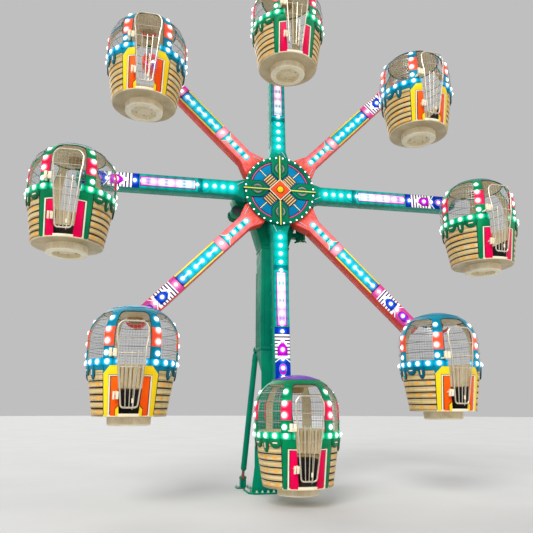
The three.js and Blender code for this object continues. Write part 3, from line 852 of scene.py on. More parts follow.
def meet_edge(faces, start, end, edge_at):
    """Slides turned points on both sides of the door, so that the end at one angle meets an upright line."""
    for vert in verts_of(faces):
        angle = angle_of(vert.co)
        radius = math.hypot(vert.co.x, vert.co.y)
        if radius > 0 and start - 0.001 <= abs(angle) <= end:
            share = (end - abs(angle)) / (end - start)
            line = math.asin(edge_at(vert.co.z) / radius)
            vert.co = polar(radius, math.copysign(end - share * (end - line), angle), vert.co.z)


def spread_of(face):
    """How far a face's middle is from the cabin's axis."""
    middle = face.calc_center_median()
    return math.hypot(middle.x, middle.y)


def waist_ring():
    """The painted ring at the waist, bare cream inside."""
    gap = math.asin(RING_GAP_HALF / RING_RADIUS)
    half = (RING_TOP - RING_LOW) / 2
    rim = [(RING_INNER, half), (RING_RADIUS - 0.022, half), (RING_RADIUS - 0.006, half - 0.01),
           (RING_RADIUS, half - 0.03)]
    outline = [(r, RING_MIDDLE - z) for r, z in rim] + [(r, RING_MIDDLE + z) for r, z in reversed(rim)]
    bm = bmesh.new()
    faces = turn(bm, crisp(outline), 0, gap, math.tau - 2 * gap, 84)
    mark([face for face in faces if spread_of(face) < RING_INNER + 0.001], 1)
    unwrap(bm, "cabin", round_place)
    return bm


RIB_ROWS = [0.04, 0.11, 0.18, ACCENT_LOW, 0.32, 0.4, 0.48, ACCENT_HIGH, 0.61, 0.66, 0.7, 0.74]
RIB_ROWS += [ROOF_LOW - WINDOW_CORNER * (1 - math.sin(math.pi / 2 * n / 7)) for n in range(8)]
RIB_COLUMNS = 8


def ribs():
    """Six moulded ribs, painted outside with a coloured middle and bare cream inside."""
    bm = bmesh.new()
    last = len(RIB_ROWS) - 1
    for angle in RIB_ANGLES:
        def on_rib(across, up):
            height = RIB_ROWS[round((up + 1) / 2 * last)]
            return polar(dome_radius(height), angle + across * rib_half_angle(height), height)
        skin = sheet(bm, RIB_COLUMNS, last, on_rib)
        mark([face for face in skin if ACCENT_LOW < face.calc_center_median().z < ACCENT_HIGH], 1)
        out = bmesh.ops.extrude_face_region(bm, geom=skin)
        for vert in among(out, BMVert):
            inwards(vert, RIB_THICKNESS)
        mark(among(out, BMFace), 2)
    unwrap(bm, "rib", rib_place)
    return bm


def roof():
    """The domed roof with its raised cap, in the scheme's cap finish: on green cabins a violet painted
    reflection of the arms' magenta lamps.
    """
    bm = bmesh.new()
    rim, brow = dome_radius(ROOF_LOW), dome_radius(CAP_LOW)
    skin = [(dome_radius(z), z) for z in (ROOF_LOW + (CAP_LOW - ROOF_LOW) * n / 5 for n in range(6))]
    turn(bm, [(rim - 0.03, ROOF_LOW), *skin, (brow - 0.05, CAP_LOW - 0.012)], 0, steps=72)
    crown = [CAP_LOW + (DOME_TOP - CAP_LOW) * (1 - (1 - n / 9) ** 2) for n in range(1, 9)]
    cap = [(brow - 0.06, CAP_LOW - 0.006), (brow + 0.002, CAP_LOW + 0.001), (brow + 0.001, CAP_LOW + 0.007)]
    cap += [(max(0.0, dome_radius(z) - 0.002), z) for z in crown]
    cap += [(0, DOME_TOP - 0.004), (0, CAP_LOW + 0.02)]
    turn(bm, cap, 1, steps=72)
    return bm


def ceiling():
    """The cream liner under the roof, with the bearing's round cover in its middle."""
    bm = bmesh.new()
    edge = dome_radius(ROOF_LOW) - 0.035
    turn(bm, [(0, 0.802), (0.14, 0.804), (0.3, 0.818), (edge, 0.842), (edge, 0.848), (0.3, 0.826), (0, 0.81)],
         0, steps=48)
    boss = [(0, 0.806), (0.128, 0.806), (0.134, 0.79), (0.128, 0.75), (0.105, 0.716), (0.06, 0.702), (0, 0.7)]
    turn(bm, boss, 1, steps=28)
    return bm


def bearing_flange():
    """The bearing's flange on the back of the roof, where the arm's shaft comes in."""
    bm = bmesh.new()
    for start, end, radius in ((0.36, 0.48, 0.088), (0.435, 0.452, 0.118)):
        rod(bm, (0, start, PIVOT_ABOVE_RING), (0, end, PIVOT_ABOVE_RING), radius, 0, 24)
    bolt_circle(bm, (0, 0.452, PIVOT_ABOVE_RING), 0.103, 8, (0, 1, 0), 0.009)
    return bm


def crescent():
    """The bright crescent in front of the bearing's cover."""
    bm = bmesh.new()
    half, tips, drop = 0.165, 0.75, 0.14
    outer = [(-half * math.cos(a), tips - drop * math.sin(a)) for a in (math.pi * n / 18 for n in range(19))]
    inner = [(0.96 * x, tips + 0.003 + (z - tips) * 0.56) for x, z in reversed(outer[1:-1])]
    plate(bm, outer + inner, -0.15, -0.136, 0, edge=0.003)
    return bm


def cage_wires():
    """Hoops, a welded wire net in the five bays without a door, and a dark bead round the door's bay."""
    bm = bmesh.new()
    net_tall = ROOF_LOW - 0.004 - RING_TOP
    half = BAY_HALF - RIB_HALF_WIDTH / SKIN_RADIUS + 0.012
    rows, columns = math.ceil(net_tall / NET_CELL), round(2 * half * SKIN_RADIUS / NET_CELL)
    for bay in range(1, 6):
        def on_bay(across, up):
            height = RING_TOP + net_tall * (up + 1) / 2
            return polar(dome_radius(height) - 0.016, bay * 2 * BAY_HALF + across * half, height)
        weave(bm, sheet(bm, columns, rows, on_bay), NET_WIRE)
    start = RIB_ANGLES[0] + 0.5 * RIB_HALF_WIDTH / SKIN_RADIUS
    step = (math.tau - 2 * start) / 66
    for height in HOOPS:
        radius = dome_radius(height) - 0.008
        pipe(bm, [polar(radius, start + step * n, height) for n in range(67)], 0.0065, 0, 6)

    def on_bead(angle, height):
        return polar(dome_radius(height) - 0.004, angle, height - 0.008)
    side = [on_bead(RIB_ANGLES[0] - rib_half_angle(z) - 0.008, z) for z in RIB_ROWS]
    head = [on_bead(math.radians(15 - 5 * n), ROOF_LOW) for n in range(7)]
    pipe(bm, side + head + [Vector((-x, y, z)) for x, y, z in reversed(side)], 0.008, 1, 6)
    return bm


def rib_outward(angle, height):
    """The direction that faces out of a rib at a height."""
    below, above = [polar(dome_radius(z), angle, z) for z in (height - 0.01, height + 0.01)]
    outward = (above - below).cross(polar(1, angle + math.pi / 2, 0)).normalized()
    return outward if outward.dot(polar(1, angle, 0)) > 0 else -outward


def cabin_lamps():
    bm = bmesh.new()
    for n in range(2, 23):
        angle = n * RING_LAMP_STEP
        lamp(bm, polar(RING_RADIUS, angle, RING_MIDDLE), polar(1, angle, 0))
    for angle in RIB_LAMP_ANGLES:
        for n in range(RIB_LAMPS):
            height = RIB_LAMP_FIRST + RIB_LAMP_PITCH * n
            lamp(bm, polar(dome_radius(height), angle, height), rib_outward(angle, height), RIB_LAMP_RADIUS)
    return bm


def siding():
    """Boards round the tub in four panels; the grooves between the boards show the tub's black skin, which
    paints their shade.
    """
    bm = bmesh.new()
    grooves = [GROOVE_FIRST - n * GROOVE_PITCH for n in range(GROOVES)]
    edges = [RING_LOW - 0.03, *grooves, TUB_BOTTOM + 0.004]
    front = math.asin(SURROUND_OUTER[1] / TUB_FLOOR_RADIUS)
    seam = math.radians(0.6)
    quarter = math.pi / 2 - seam
    spans = [(front, quarter), (math.pi / 2 + seam, math.pi - seam)]
    spans += [(math.tau - b, math.tau - a) for a, b in spans]
    chamfer = 0.004
    for start, end in spans:
        steps = max(4, round(math.degrees(end - start) / 4))
        for top, bottom in zip(edges, edges[1:]):
            high = top - (GROOVE_HALF if top in grooves else 0)
            low = bottom + (GROOVE_HALF if bottom in grooves else 0)
            face = [high - (high - low) * share for share in (0.0, 0.05, 0.95, 1.0)]
            outline = [(tub_radius(z) - SKIN_GAP, z) for z in (low, high)]
            outline += [(tub_radius(z) - 0.002 - cut, z) for z, cut in zip(face, (chamfer, 0, 0, chamfer))]
            turn(bm, outline, 0, start, end - start, steps)
    meet_edge(bm.faces, front, quarter + 0.001, lambda height: surround_edge(SURROUND_OUTER, height) + 0.008)
    unwrap(bm, "cabin", round_place)
    return bm


def tub_shell():
    """The moulded tub: black skin behind the boards as painted shade in their grooves, cream inside and
    floor, the underside in a darker gel coat as painted shade, and the drum with its bottom in pale ivory as
    a painted highlight.
    """
    bm = bmesh.new()
    gap = math.asin(DOORWAY_WAIST_HALF / TUB_TOP_RADIUS)
    top, floor = RING_LOW - 0.002, FLOOR_TOP
    wall = [(tub_radius(z) - depth, z) for z, depth in
            ((top, TUB_WALL), (floor, TUB_WALL), (floor, SKIN_GAP), (top, SKIN_GAP))]
    made = turn(bm, wall, 1, gap, math.tau - 2 * gap, 90)
    # The outer face is the black skin behind boards and panels: painted shade in their grooves and gaps
    for face in made:
        if spread_of(face) > tub_radius(face.calc_center_median().z) - 0.5 * (SKIN_GAP + TUB_WALL):
            face.material_index = 0
    meet_edge(made, gap, math.pi, lambda height: doorway_edge(height) + 0.006)
    rim = [
        (0, floor), (TUB_FLOOR_RADIUS - 0.02, floor), (TUB_FLOOR_RADIUS - 0.004, TUB_BOTTOM + 0.03),
        (TUB_FLOOR_RADIUS, TUB_BOTTOM + 0.014), (TUB_FLOOR_RADIUS - 0.004, TUB_BOTTOM + 0.004),
        (TUB_FLOOR_RADIUS - 0.016, TUB_BOTTOM), (DRUM_RADIUS + 0.01, TUB_BOTTOM),
        (DRUM_RADIUS, TUB_BOTTOM - 0.008), (DRUM_RADIUS - 0.004, DRUM_BOTTOM + 0.026),
        (DRUM_RADIUS - 0.01, DRUM_BOTTOM + 0.008), (DRUM_RADIUS - 0.026, DRUM_BOTTOM),
        (DRUM_RECESS + 0.008, DRUM_BOTTOM), (DRUM_RECESS, DRUM_BOTTOM + 0.006),
        (DRUM_RECESS - 0.008, DRUM_BOTTOM + 0.06), (0, DRUM_BOTTOM + 0.06),
    ]
    # The drum's bottom keeps the paler ivory it is turned in, a painted highlight on a face that looks down
    for face in turn(bm, crisp(rim), 3, steps=72):
        height = face.calc_center_median().z
        if height > TUB_BOTTOM + 0.002 or spread_of(face) < DRUM_RECESS:
            face.material_index = 1
        # The flat underside round the drum: painted shade, in a darker copy of the gel coat
        elif height > TUB_BOTTOM - 0.004:
            face.material_index = 4
        elif height > DRUM_BOTTOM + 0.02:
            face.material_index = 5
    hatch = [(0, 0.05), (0.1, 0.05), (0.106, 0.056), (0.106, 0.066), (0, 0.066)]
    turn(bm, [(radius, DRUM_BOTTOM + rise) for radius, rise in hatch], 1, steps=32)
    for n in range(6):
        bolt(bm, polar(0.172, n * math.tau / 6, DRUM_BOTTOM + 0.06), (0, 0, -1), 0.012, 2)
    unwrap(bm, "cabin", round_place)
    return bm


# The footwell between the benches, and the mat's ribs in it
WELL_HALF = 0.3
WELL_FRONT = -0.5
WELL_BACK = 0.17
MAT_PITCH = 0.045
MAT_HALF = 0.014


def benches():
    """The moulded bench round the back of the tub, its risers near-black as painted shade under the seat, and
    the ribbed mat in the footwell.
    """
    bm = bmesh.new()
    seat = tub_radius(BENCH_TOP) - TUB_WALL + 0.004
    start = math.radians(31)
    arc = [polar(seat, start + (math.tau - 2 * start) * n / 44, BENCH_TOP) for n in range(45)]
    well = both_ends([(-WELL_HALF, WELL_FRONT), (-WELL_HALF, WELL_BACK)])
    verts = [bm.verts.new(p) for p in arc + [(x, y, BENCH_TOP) for x, y in well]]
    top = bm.faces.new(verts)
    inner = [e for e in top.edges if any(math.hypot(v.co.x, v.co.y) < seat - 0.01 for v in e.verts)]
    for vert in among(bmesh.ops.extrude_face_region(bm, geom=[top]), BMVert):
        vert.co.z = FLOOR_TOP + 0.001
        if math.hypot(vert.co.x, vert.co.y) > seat - 0.01:
            vert.co.xy *= (tub_radius(FLOOR_TOP) - TUB_WALL + 0.004) / seat
    bevel(bm, [e for e in inner if e.is_valid], 0.03, 3)
    bm.normal_update()
    # Faces that stand upright take the near-black finish, painted shade under the seat
    for face in bm.faces:
        face.material_index = 1 if abs(face.normal.z) < 0.3 else 0
    for n in range(-6, 7):
        x = MAT_PITCH * n
        block(bm, (x - MAT_HALF, WELL_FRONT - 0.02, FLOOR_TOP),
              (x + MAT_HALF, WELL_BACK - 0.01, FLOOR_TOP + 0.008), 1, 0.002)
    return bm


def seat_backs():
    """Close flutes of the moulded seat backs on the tub's inner wall."""
    bm = bmesh.new()
    start = math.radians(40)
    count = 44
    low, high = BENCH_TOP + 0.015, RING_LOW + 0.09
    for n in range(count):
        angle = start + (math.tau - 2 * start) / count * (n + 0.5)
        foot = polar(tub_radius(low) - TUB_WALL - 0.018, angle, low)
        head = polar(tub_radius(RING_LOW) - TUB_WALL - 0.034, angle, high)
        rod(bm, foot, head, 0.034, 0, 10, 0.033)
    return bm


def surround_edge(pair, height):
    """An upright line of the surround at a height; pairs give it at the waist and at the floor."""
    share = (RING_LOW - height) / (RING_LOW - TUB_BOTTOM)
    return pair[0] + (pair[1] - pair[0]) * share


def doorway_edge(height):
    """Half the doorway's width at a height, from the waist down to the floor."""
    share = (RING_LOW - height) / (RING_LOW - FLOOR_TOP)
    return DOORWAY_WAIST_HALF + (DOORWAY_FLOOR_HALF - DOORWAY_WAIST_HALF) * max(0.0, min(1.0, share))


def upright(pair, height):
    return (surround_edge(pair, height), height)


def door_side(height):
    return (doorway_edge(height) + 0.003, height)


# The cut corner of the surround on blue cabins, across and down, and the top of its small foot panel
CHAMFER = (0.105, 0.125)
CORNER_TOP = -0.7


def door_surround(chamfered):
    """Pilasters, ivory line and coloured panel on both sides of the doorway, and the threshold; the gaps
    between them show the tub's black skin as painted shade.
    """
    bm = bmesh.new()
    floor = TUB_BOTTOM + 0.01
    top = RING_LOW - 0.003
    outer = SURROUND_OUTER[0]
    across, down = CHAMFER
    head = [upright(SURROUND_OUTER, top)]
    if chamfered:
        head = [upright(SURROUND_OUTER, top - down), (outer - across, top)]
    pilaster = [
        upright(SURROUND_OUTER, floor), *head, door_side(top), door_side(SURROUND_TOP),
        upright(SURROUND_INNER, SURROUND_TOP), upright(SURROUND_INNER, floor),
    ]
    line_top = SURROUND_TOP - 0.008
    line_low = line_top - LINE_WIDTH
    line = [
        upright(LINE_OUTER, floor), upright(LINE_OUTER, line_top), door_side(line_top), door_side(line_low),
        upright(LINE_INNER, line_low), upright(LINE_INNER, floor),
    ]
    foot = [door_side(FLOOR_TOP), door_side(floor)]
    panel = [upright(PANEL_OUTER, floor), upright(PANEL_OUTER, PANEL_TOP), door_side(PANEL_TOP), *foot]
    layers = [(pilaster, 0.0, 0, 0.005), (line, 0.0015, 1, 0.003), (panel, -0.0045, 2, 0.002)]
    if chamfered:
        corner = [(0.205, floor), (0.21, CORNER_TOP - 0.05), door_side(CORNER_TOP), *foot]
        ground = [(x + grow, z + grow) for (x, z), grow in zip(corner, (0.009, 0.009, 0.009, 0, 0))]
        layers += [(ground, -0.0025, 3, 0.001), (corner, 0.001, 0, 0.003)]
        beside = [(outer - across - 0.02, top), (outer + 0.09, top), (outer + 0.085, top - 0.07),
                  (outer + 0.03, top - 0.13), upright(SURROUND_OUTER, top - down - 0.02)]
        layers.insert(0, (beside, -0.004, 4, 0.002))
    for side in (1, -1):
        for outline, proud, number, edge in layers:
            made = plate(bm, [(side * x, z) for x, z in outline], -proud, SKIN_GAP, number, edge=edge)
            on_wall(bm, made, [side * (0.15 + 0.03 * n) for n in range(12)])
    half = DOORWAY_FLOOR_HALF + 0.012
    outline = both_ends([(-half, floor - 0.006), (-half, FLOOR_TOP + 0.012)])
    sill = plate(bm, outline, -0.003, 0.05, 1, edge=0.004)
    on_wall(bm, sill, [-0.12 + 0.03 * n for n in range(9)])
    return bm


# Drapes: half width, drop and roundness, then the slot's half sizes and its drop
SWAG = (0.128, 0.15, 2.0, (0.048, 0.012), 0.062)
TONGUE = (0.07, 0.22, 2.6, (0.011, 0.044), 0.106)
# Each layer's inset from the outline, how proud it stands, and its finish
DRAPE_LAYERS = ((-0.003, 0.004, 1), (0.004, 0.008, 0), (0.019, 0.0105, 1), (0.027, 0.015, 0))


def scallop(half, drop, power, top):
    """A hanging rounded outline under a height."""
    angles = [math.pi * k / 16 for k in range(17)]
    curve = [(half * math.cos(a), top - 0.02 - (drop - 0.02) * math.sin(a) ** (2 / power)) for a in angles]
    return [(half, top), *curve, (-half, top)]


def drapes(start, steps, shapes):
    """Scalloped trim under the ring: wide swags with a level slot, narrow drops with an upright one."""
    bm = bmesh.new()
    top = RING_LOW + 0.004
    for n, side in [(n, side) for n in range(steps + 1) for side in (1, -1) if n < steps or side > 0]:
        middle = side * (start + (math.pi - start) * n / steps)
        half, drop, power, (slot_x, slot_z), slot_drop = shapes[n % 2]
        for inset, proud, number in DRAPE_LAYERS:
            outline = scallop(half - inset, drop - inset, power, top)
            made = plate(bm, outline, -proud, 0.012, number, edge=0.003)
            round_wall(bm, made, [-0.1 + 0.04 * k for k in range(6)], middle)
        for grow, proud, number in ((0.009, 0.0165, 1), (0.0, 0.02, 2)):
            x, z, low = slot_x + grow, slot_z + grow, top - slot_drop
            made = plate(bm, both_ends([(x, low - z), (x, low + z)]), -proud, 0.0, number, min(x, z) * 0.9)
            round_wall(bm, made, [-0.03, 0.0, 0.03], middle)
    gap = math.radians(36)
    low, high = RING_LOW - 0.068, RING_LOW - 0.002
    foot, wall = tub_radius(low), tub_radius(RING_LOW)
    for grow, number in ((0.005, 1), (0.0, 0)):
        outline = [(foot - 0.012, low - grow), (foot + 0.004 - grow / 2, low - grow),
                   (wall + 0.005 - grow / 2, high), (wall - 0.012, high)]
        turn(bm, outline, number, gap, math.tau - 2 * gap, 72)
    return bm


# Each hinge's stretch of block: the door's edge there, then its low and high end
HINGE_BLOCKS = ((-0.236, 0.065, 0.195), (-0.168, -0.6, -0.475))
# Where each hinge's lug meets the cabin's wall, and how wide the lug is
HINGE_LUGS = ((-0.335, -0.68, 0.048), (-0.238, -0.612, 0.032))


def hinge_lugs():
    """The fixed half of each hinge: a block beside the knuckle, and its lug back to the cabin's wall."""
    bm = bmesh.new()
    for hinge, (wall_x, wall_y, width), (_, low, high) in zip(HINGES, HINGE_LUGS, HINGE_BLOCKS):
        right = hinge.x - KNUCKLE_RADIUS - 0.007
        lean_with_hinge(block(bm, (right - width, -0.021, low), (right, 0.021, high), 0, 0.004), hinge)
        outline = [(right - width + 0.005, hinge.y), (right - 0.005, hinge.y),
                   (wall_x + width / 2 - 0.005, wall_y), (wall_x - width / 2 + 0.005, wall_y)]
        slab(bm, outline, hinge.z - 0.008, hinge.z - 0.034, 0, 0.003)
    return bm


def lean_with_hinge(faces, hinge):
    """Moves a block drawn about y = 0 to a hinge, along the slope of the door there."""
    for vert in verts_of(faces):
        vert.co.y += hinge.y + (hinge.z - vert.co.z) * (DOOR_LEAN if hinge.z < 0 else 0)


def door_front(height):
    """The door leaf's middle plane, bent at its waist."""
    if height <= DOOR_BEND:
        return DOOR_BEND_FRONT + (DOOR_BEND - height) * DOOR_LEAN
    share = (height - DOOR_BEND) / (DOOR_HEAD - DOOR_BEND)
    return DOOR_BEND_FRONT + (DOOR_HEAD_FRONT - DOOR_BEND_FRONT) * share


def door_half(height):
    """Half the door's width at a height, along its side's straight stretches."""
    for (low, low_half), (high, high_half) in zip(DOOR_SIDE, DOOR_SIDE[1:]):
        if height <= high:
            return low_half + (high_half - low_half) * (height - low) / (high - low)
    return DOOR_SIDE[-1][1]


def on_door(x, height):
    return (x, door_front(height), height)


# The cut of the door's upper corners, across and down, and how far the latch is from its middle
DOOR_CORNER = (0.07, 0.09)
LATCH_ASIDE = 0.05


def door_leaf():
    """The bent tubular door with its bars, wire net, latch rod, hinge blocks and knuckles."""
    bm = bmesh.new()
    corner, shoulder = DOOR_CORNER[0], DOOR_HEAD - DOOR_CORNER[1]
    left = [on_door(-0.02, DOOR_BOTTOM), on_door(-DOOR_SIDE[0][1], DOOR_BOTTOM)]
    left += [on_door(-door_half(z), z) for z in (-0.4, DOOR_BEND, 0.25, 0.36, shoulder)]
    left.append(on_door(-door_half(DOOR_HEAD) + corner, DOOR_HEAD))
    right = [on_door(-x, z) for x, _, z in reversed(left[1:])]
    pipe(bm, softened(left + right + [left[0]], 0.055), DOOR_TUBE_RADIUS, 0, 10)
    for share in (-0.46, 0.0, 0.46):
        pipe(bm, [on_door(share * door_half(z), z) for z in (DOOR_BOTTOM, DOOR_BEND, 0.16)], 0.0085)
    for height, radius in ((DOOR_BEND - 0.2, 0.007), (DOOR_BEND + 0.02, 0.009), (0.36, 0.006)):
        rod(bm, on_door(-door_half(height), height), on_door(door_half(height), height), radius)
    before = set(bm.faces)

    def in_frame(across, up):
        height = DOOR_BEND + 0.02 + (DOOR_HEAD - DOOR_BEND - 0.025) * (up + 1) / 2
        return on_door(across * (door_half(height) - 0.006), height)
    sheet(bm, 8, 9, in_frame)
    for side in (1, -1):
        bmesh.ops.bisect_plane(bm, geom=parts_of(added(bm, before)), clear_outer=True, dist=1e-6,
                               plane_co=on_door(side * door_half(DOOR_HEAD), shoulder),
                               plane_no=(side * DOOR_CORNER[1], 0, corner))
    weave(bm, added(bm, before), 0.0036)
    mark(added(bm, before), 1)
    pipe(bm, [on_door(LATCH_ASIDE * 1.1, DOOR_BEND - 0.3), on_door(LATCH_ASIDE, DOOR_BOTTOM - 0.035)], 0.006)
    grip = [(LATCH_ASIDE, door_front(level) - 0.004, z) for level, z in ((-0.62, -0.655), (-0.58, -0.585))]
    rod(bm, *grip, 0.017, 2, 10)
    for hinge, (right, low, high) in zip(HINGES, HINGE_BLOCKS):
        rod(bm, hinge - HINGE_AXIS * KNUCKLE_HALF, hinge + HINGE_AXIS * KNUCKLE_HALF, KNUCKLE_RADIUS, 2, 12)
        ear = block(bm, (hinge.x - 0.008, -0.01, low + 0.003), (right, 0.021, high - 0.003), 2, 0.004)
        lean_with_hinge(ear, hinge)
    return bm


# Arm, along +X from the hub with its front in the plane y = 0
def arm_beam(flare):
    """A box beam with a flared, gusseted root and the stub shaft that carries the cabin."""
    bm = bmesh.new()
    root_half, flare_half, flare_end = flare
    half = [(HUB_APOTHEM + 0.001, root_half), (FLARE_RADIUS, flare_half), (flare_end, ARM_HALF_WIDTH),
            (PIVOT_RADIUS + 0.02, ARM_HALF_WIDTH), (PIVOT_RADIUS + 0.12, ARM_HALF_WIDTH * 0.6)]
    plate(bm, both_sides(half), 0.0, ARM_DEPTH, 0, edge=0.007)
    middle = ARM_DEPTH / 2
    start, end = CORAL_FLARE[2] + 0.04, PIVOT_RADIUS - 0.02
    for side in (1, -1):
        face = side * ARM_HALF_WIDTH
        block(bm, (start, middle - 0.1, face - 0.004), (end, middle + 0.1, face + 0.004), 0, 0.003)
        for n in range(9):
            r = start + 0.06 + (end - start - 0.12) * n / 8
            bolt(bm, (r, middle + 0.083, face + side * 0.004), (0, 0, side), 0.008, 1)
    back = ARM_DEPTH + 0.005
    block(bm, (start, ARM_DEPTH - 0.002, -0.1), (end - 0.9, back, 0.1), 0, 0.003)
    for n in range(7):
        for z in (-0.082, 0.082):
            bolt(bm, (start + 0.04 + (end - start - 0.98) * n / 6, back, z), (0, 1, 0), 0.009, 1)
    cap = ARM_DEPTH + 0.012
    for start, end, radius, number, sides in (
            (0.02, -0.07, 0.105, 0, 24), (0.0, -0.62, SHAFT_RADIUS, 2, 20),
            (ARM_DEPTH - 0.002, cap, 0.075, 0, 24)):
        rod(bm, (PIVOT_RADIUS, start, 0), (PIVOT_RADIUS, end, 0), radius, number, sides)
    bolt_circle(bm, (PIVOT_RADIUS, cap, 0), 0.052, 6, (0, 1, 0), 0.009)
    return bm


def band(start, end, half, middle=0.0):
    return [(start, middle - half), (end, middle - half), (end, middle + half), (start, middle + half)]


def lamp_band(start, end, half, middle=0.0):
    """A band along an arm between two places given in lamps."""
    return band(lamp_at(start), lamp_at(end), half, middle)


def arm_lamps():
    bm = bmesh.new()
    for n in range(ARM_LAMPS):
        lamp(bm, (lamp_at(n), -0.024, 0), (0, -1, 0), socket=0.03)
    return bm


# Middles of the pairs of lamps on an arm's long panel, in lamps
LAMP_PAIRS = (5.5, 7.5, 9.5)
LAYER = 0.003
FACE_HALF = ARM_HALF_WIDTH - 0.008


def lay(bm, outline, number, level, edge=0.001, corner=0.0):
    """A painted plate on an arm's or the hub's face; each level stands a little prouder than the last."""
    return plate(bm, outline, -LAYER * level, 0.002, number, corner, edge)


def lay_bands(bm, rows):
    """Bands along an arm, in rows of start and end in lamps, half width, and what else lay() takes."""
    for start, end, half, *rest in rows:
        lay(bm, lamp_band(start, end, half), *rest)


def arm_tip_ornament(bm, ink, white, field, jewel, heart, rim):
    """Stripes, a jewel in a barred field, a chevron and an oval at the arm's outer end."""
    w = FACE_HALF
    lay_bands(bm, ((11.28, 13.95, w, white, 1), (11.52, 11.67, w, ink, 2, 0), (11.9, 12.05, w, ink, 2, 0)))
    for n in range(4):
        for side in (1, -1):
            start = 12.28 + 0.38 * n
            lay(bm, lamp_band(start, start + 0.13, 0.03, side * (w - 0.03)), ink, 2, 0)
    for grow, number, level in ((0.01, ink, 3), (0.0, jewel, 4)):
        half = [(lamp_at(12.12) - grow, 0.0), (lamp_at(12.75), 0.094 + grow), (lamp_at(13.66), 0.094 + grow)]
        lay(bm, both_sides(half)[:-1], number, level)
    lay(bm, oval(lamp_at(13.05), 0.066, 0.05), jewel, 5)
    apex, foot, end = [lamp_at(step) for step in (13.6, 14.25, 16.6)]
    lay(bm, [(apex + 0.03, 0), (foot + 0.03, w), (end, w), (end, -w), (foot + 0.03, -w)], field, 4)
    for shift, thick, number, level in ((0.0, 0.03, ink, 5), (0.008, 0.024, white, 6)):
        outer = [(foot + shift, w), (apex + shift, 0), (foot + shift, -w)]
        lay(bm, outer + [(x + thick, z) for x, z in reversed(outer)], number, level, 0)
    rings = ((0.138, 0.094, ink), (0.13, 0.086, rim), (0.112, 0.07, heart[0]), (0.06, 0.046, heart[1]))
    for step, (length, width, number) in enumerate(rings):
        lay(bm, oval(lamp_at(15.15), length, width), number, 5 + step)


GREEN_ARM = ("panel_teal", "panel_fade", "panel_blue", "panel_white", "panel_ink", "panel_magenta",
             "panel_deep", "panel_cyan")


def green_arm_face():
    """Teal run with a rounded bracket, a fading panel with ringed pairs of lamps, and the tip's ornament."""
    bm = bmesh.new()
    teal, fade, blue, white, ink, magenta, deep, cyan = range(8)
    w = FACE_HALF
    root = both_sides([(0.76, GREEN_FLARE[1] - 0.012), (GREEN_FLARE[2] - 0.01, w), (lamp_at(11.3), w)])
    lay(bm, root, teal, 1)
    for grow, number, level in ((0.01, deep, 3), (0.0, teal, 4)):
        arch = [(lamp_at(3.4) - (0.13 + grow) * math.cos(a), (0.12 + grow) * math.sin(a))
                for a in (math.pi / 2 * (n / 6 - 1) for n in range(13))]
        lay(bm, arch, number, level, 0)
    lay_bands(bm, (
        (3.35, 3.95, w, deep, 2), (4.15, 10.42, 0.112, ink, 2), (4.2, 10.37, 0.104, magenta, 3),
        (4.25, 10.32, 0.092, fade, 4), (10.5, 11.28, w, blue, 3), (10.5, 10.57, w, ink, 4, 0),
        (11.2, 11.27, w, ink, 4, 0)))
    for middle in [lamp_at(pair) for pair in LAMP_PAIRS]:
        for length, width, aside, count, number, level in (
                (0.17, 0.074, 0, 24, white, 5), (0.16, 0.064, 0, 24, fade, 6),
                (0.04, 0.01, 0.036, 12, cyan, 7), (0.04, 0.01, -0.036, 12, cyan, 7)):
            lay(bm, oval(middle, length, width, count, aside), number, level, 0)
    arm_tip_ornament(bm, ink, white, blue, magenta, (magenta, blue), cyan)
    unwrap(bm, "arm", arm_place)
    return bm


CORAL_ARM = ("panel_rose", "panel_blue", "panel_white", "panel_ink", "panel_magenta", "panel_cyan", "lemon",
             "ivory", "panel_coral", "panel_berry", "panel_deep")


def coral_arm_face():
    """Rounded strip with a flared bracket, a long cyan panel in yellow borders, and the tip's ornament."""
    bm = bmesh.new()
    rose, blue, white, ink, magenta, cyan, yellow, ivory, coral, berry, deep = range(11)
    w = FACE_HALF
    bracket = lamp_at(3.42)
    lay(bm, both_sides([(0.8, CORAL_FLARE[1] - 0.012), (CORAL_FLARE[2] - 0.01, w), (bracket, w)]), coral, 1)
    for inset, thick in ((0.013, 0.008), (0.036, 0.005)):
        for side in (1, -1):
            rim = [(0.83, CORAL_FLARE[1] - 0.042 - inset), (CORAL_FLARE[2], w - inset),
                   (lamp_at(3.1), w - inset)]
            inner = [(x, z - thick) for x, z in reversed(rim)]
            lay(bm, [(x, side * z) for x, z in rim + inner], rose, 2, 0)
    for inset, number, level, corner in (
            (0, rose, 2, 0.032), (0.007, deep, 3, 0.027), (0.013, cyan, 4, 0.022)):
        strip = [(lamp_at(step) + inset, 0.068 - inset) for step in (-0.42, 3.0)]
        lay(bm, both_sides(strip), number, level, corner=corner)
    flare = [(lamp_at(2.55) + 0.15 * t, 0.056 + (w - 0.056) * t ** 2.4) for t in (n / 8 for n in range(9))]
    lay(bm, both_sides(flare + [(bracket, w)]), ivory, 5)
    inner = [(x + 0.012, max(0.03, z - 0.014)) for x, z in flare]
    lay(bm, both_sides(inner + [(bracket, w - 0.014)]), cyan, 6)
    lay_bands(bm, (
        *((n + 0.4, n + 0.52, 0.054, deep, 5, 0) for n in range(3)),
        *((pair - 0.5, pair + 0.5, 0.017, white, 4) for pair in LAMP_PAIRS),
        (3.42, 4.5, w, rose, 2), (3.42, 3.48, w, deep, 7, 0), (4.5, 10.5, w, yellow, 1),
        (4.5, 10.5, 0.122, ink, 2), (4.54, 10.46, 0.115, cyan, 3), (10.5, 11.36, w, berry, 2),
        (10.5, 10.56, w, ink, 3, 0)))
    arm_tip_ornament(bm, ink, white, berry, blue, (magenta, blue), blue)
    unwrap(bm, "arm", arm_place)
    return bm


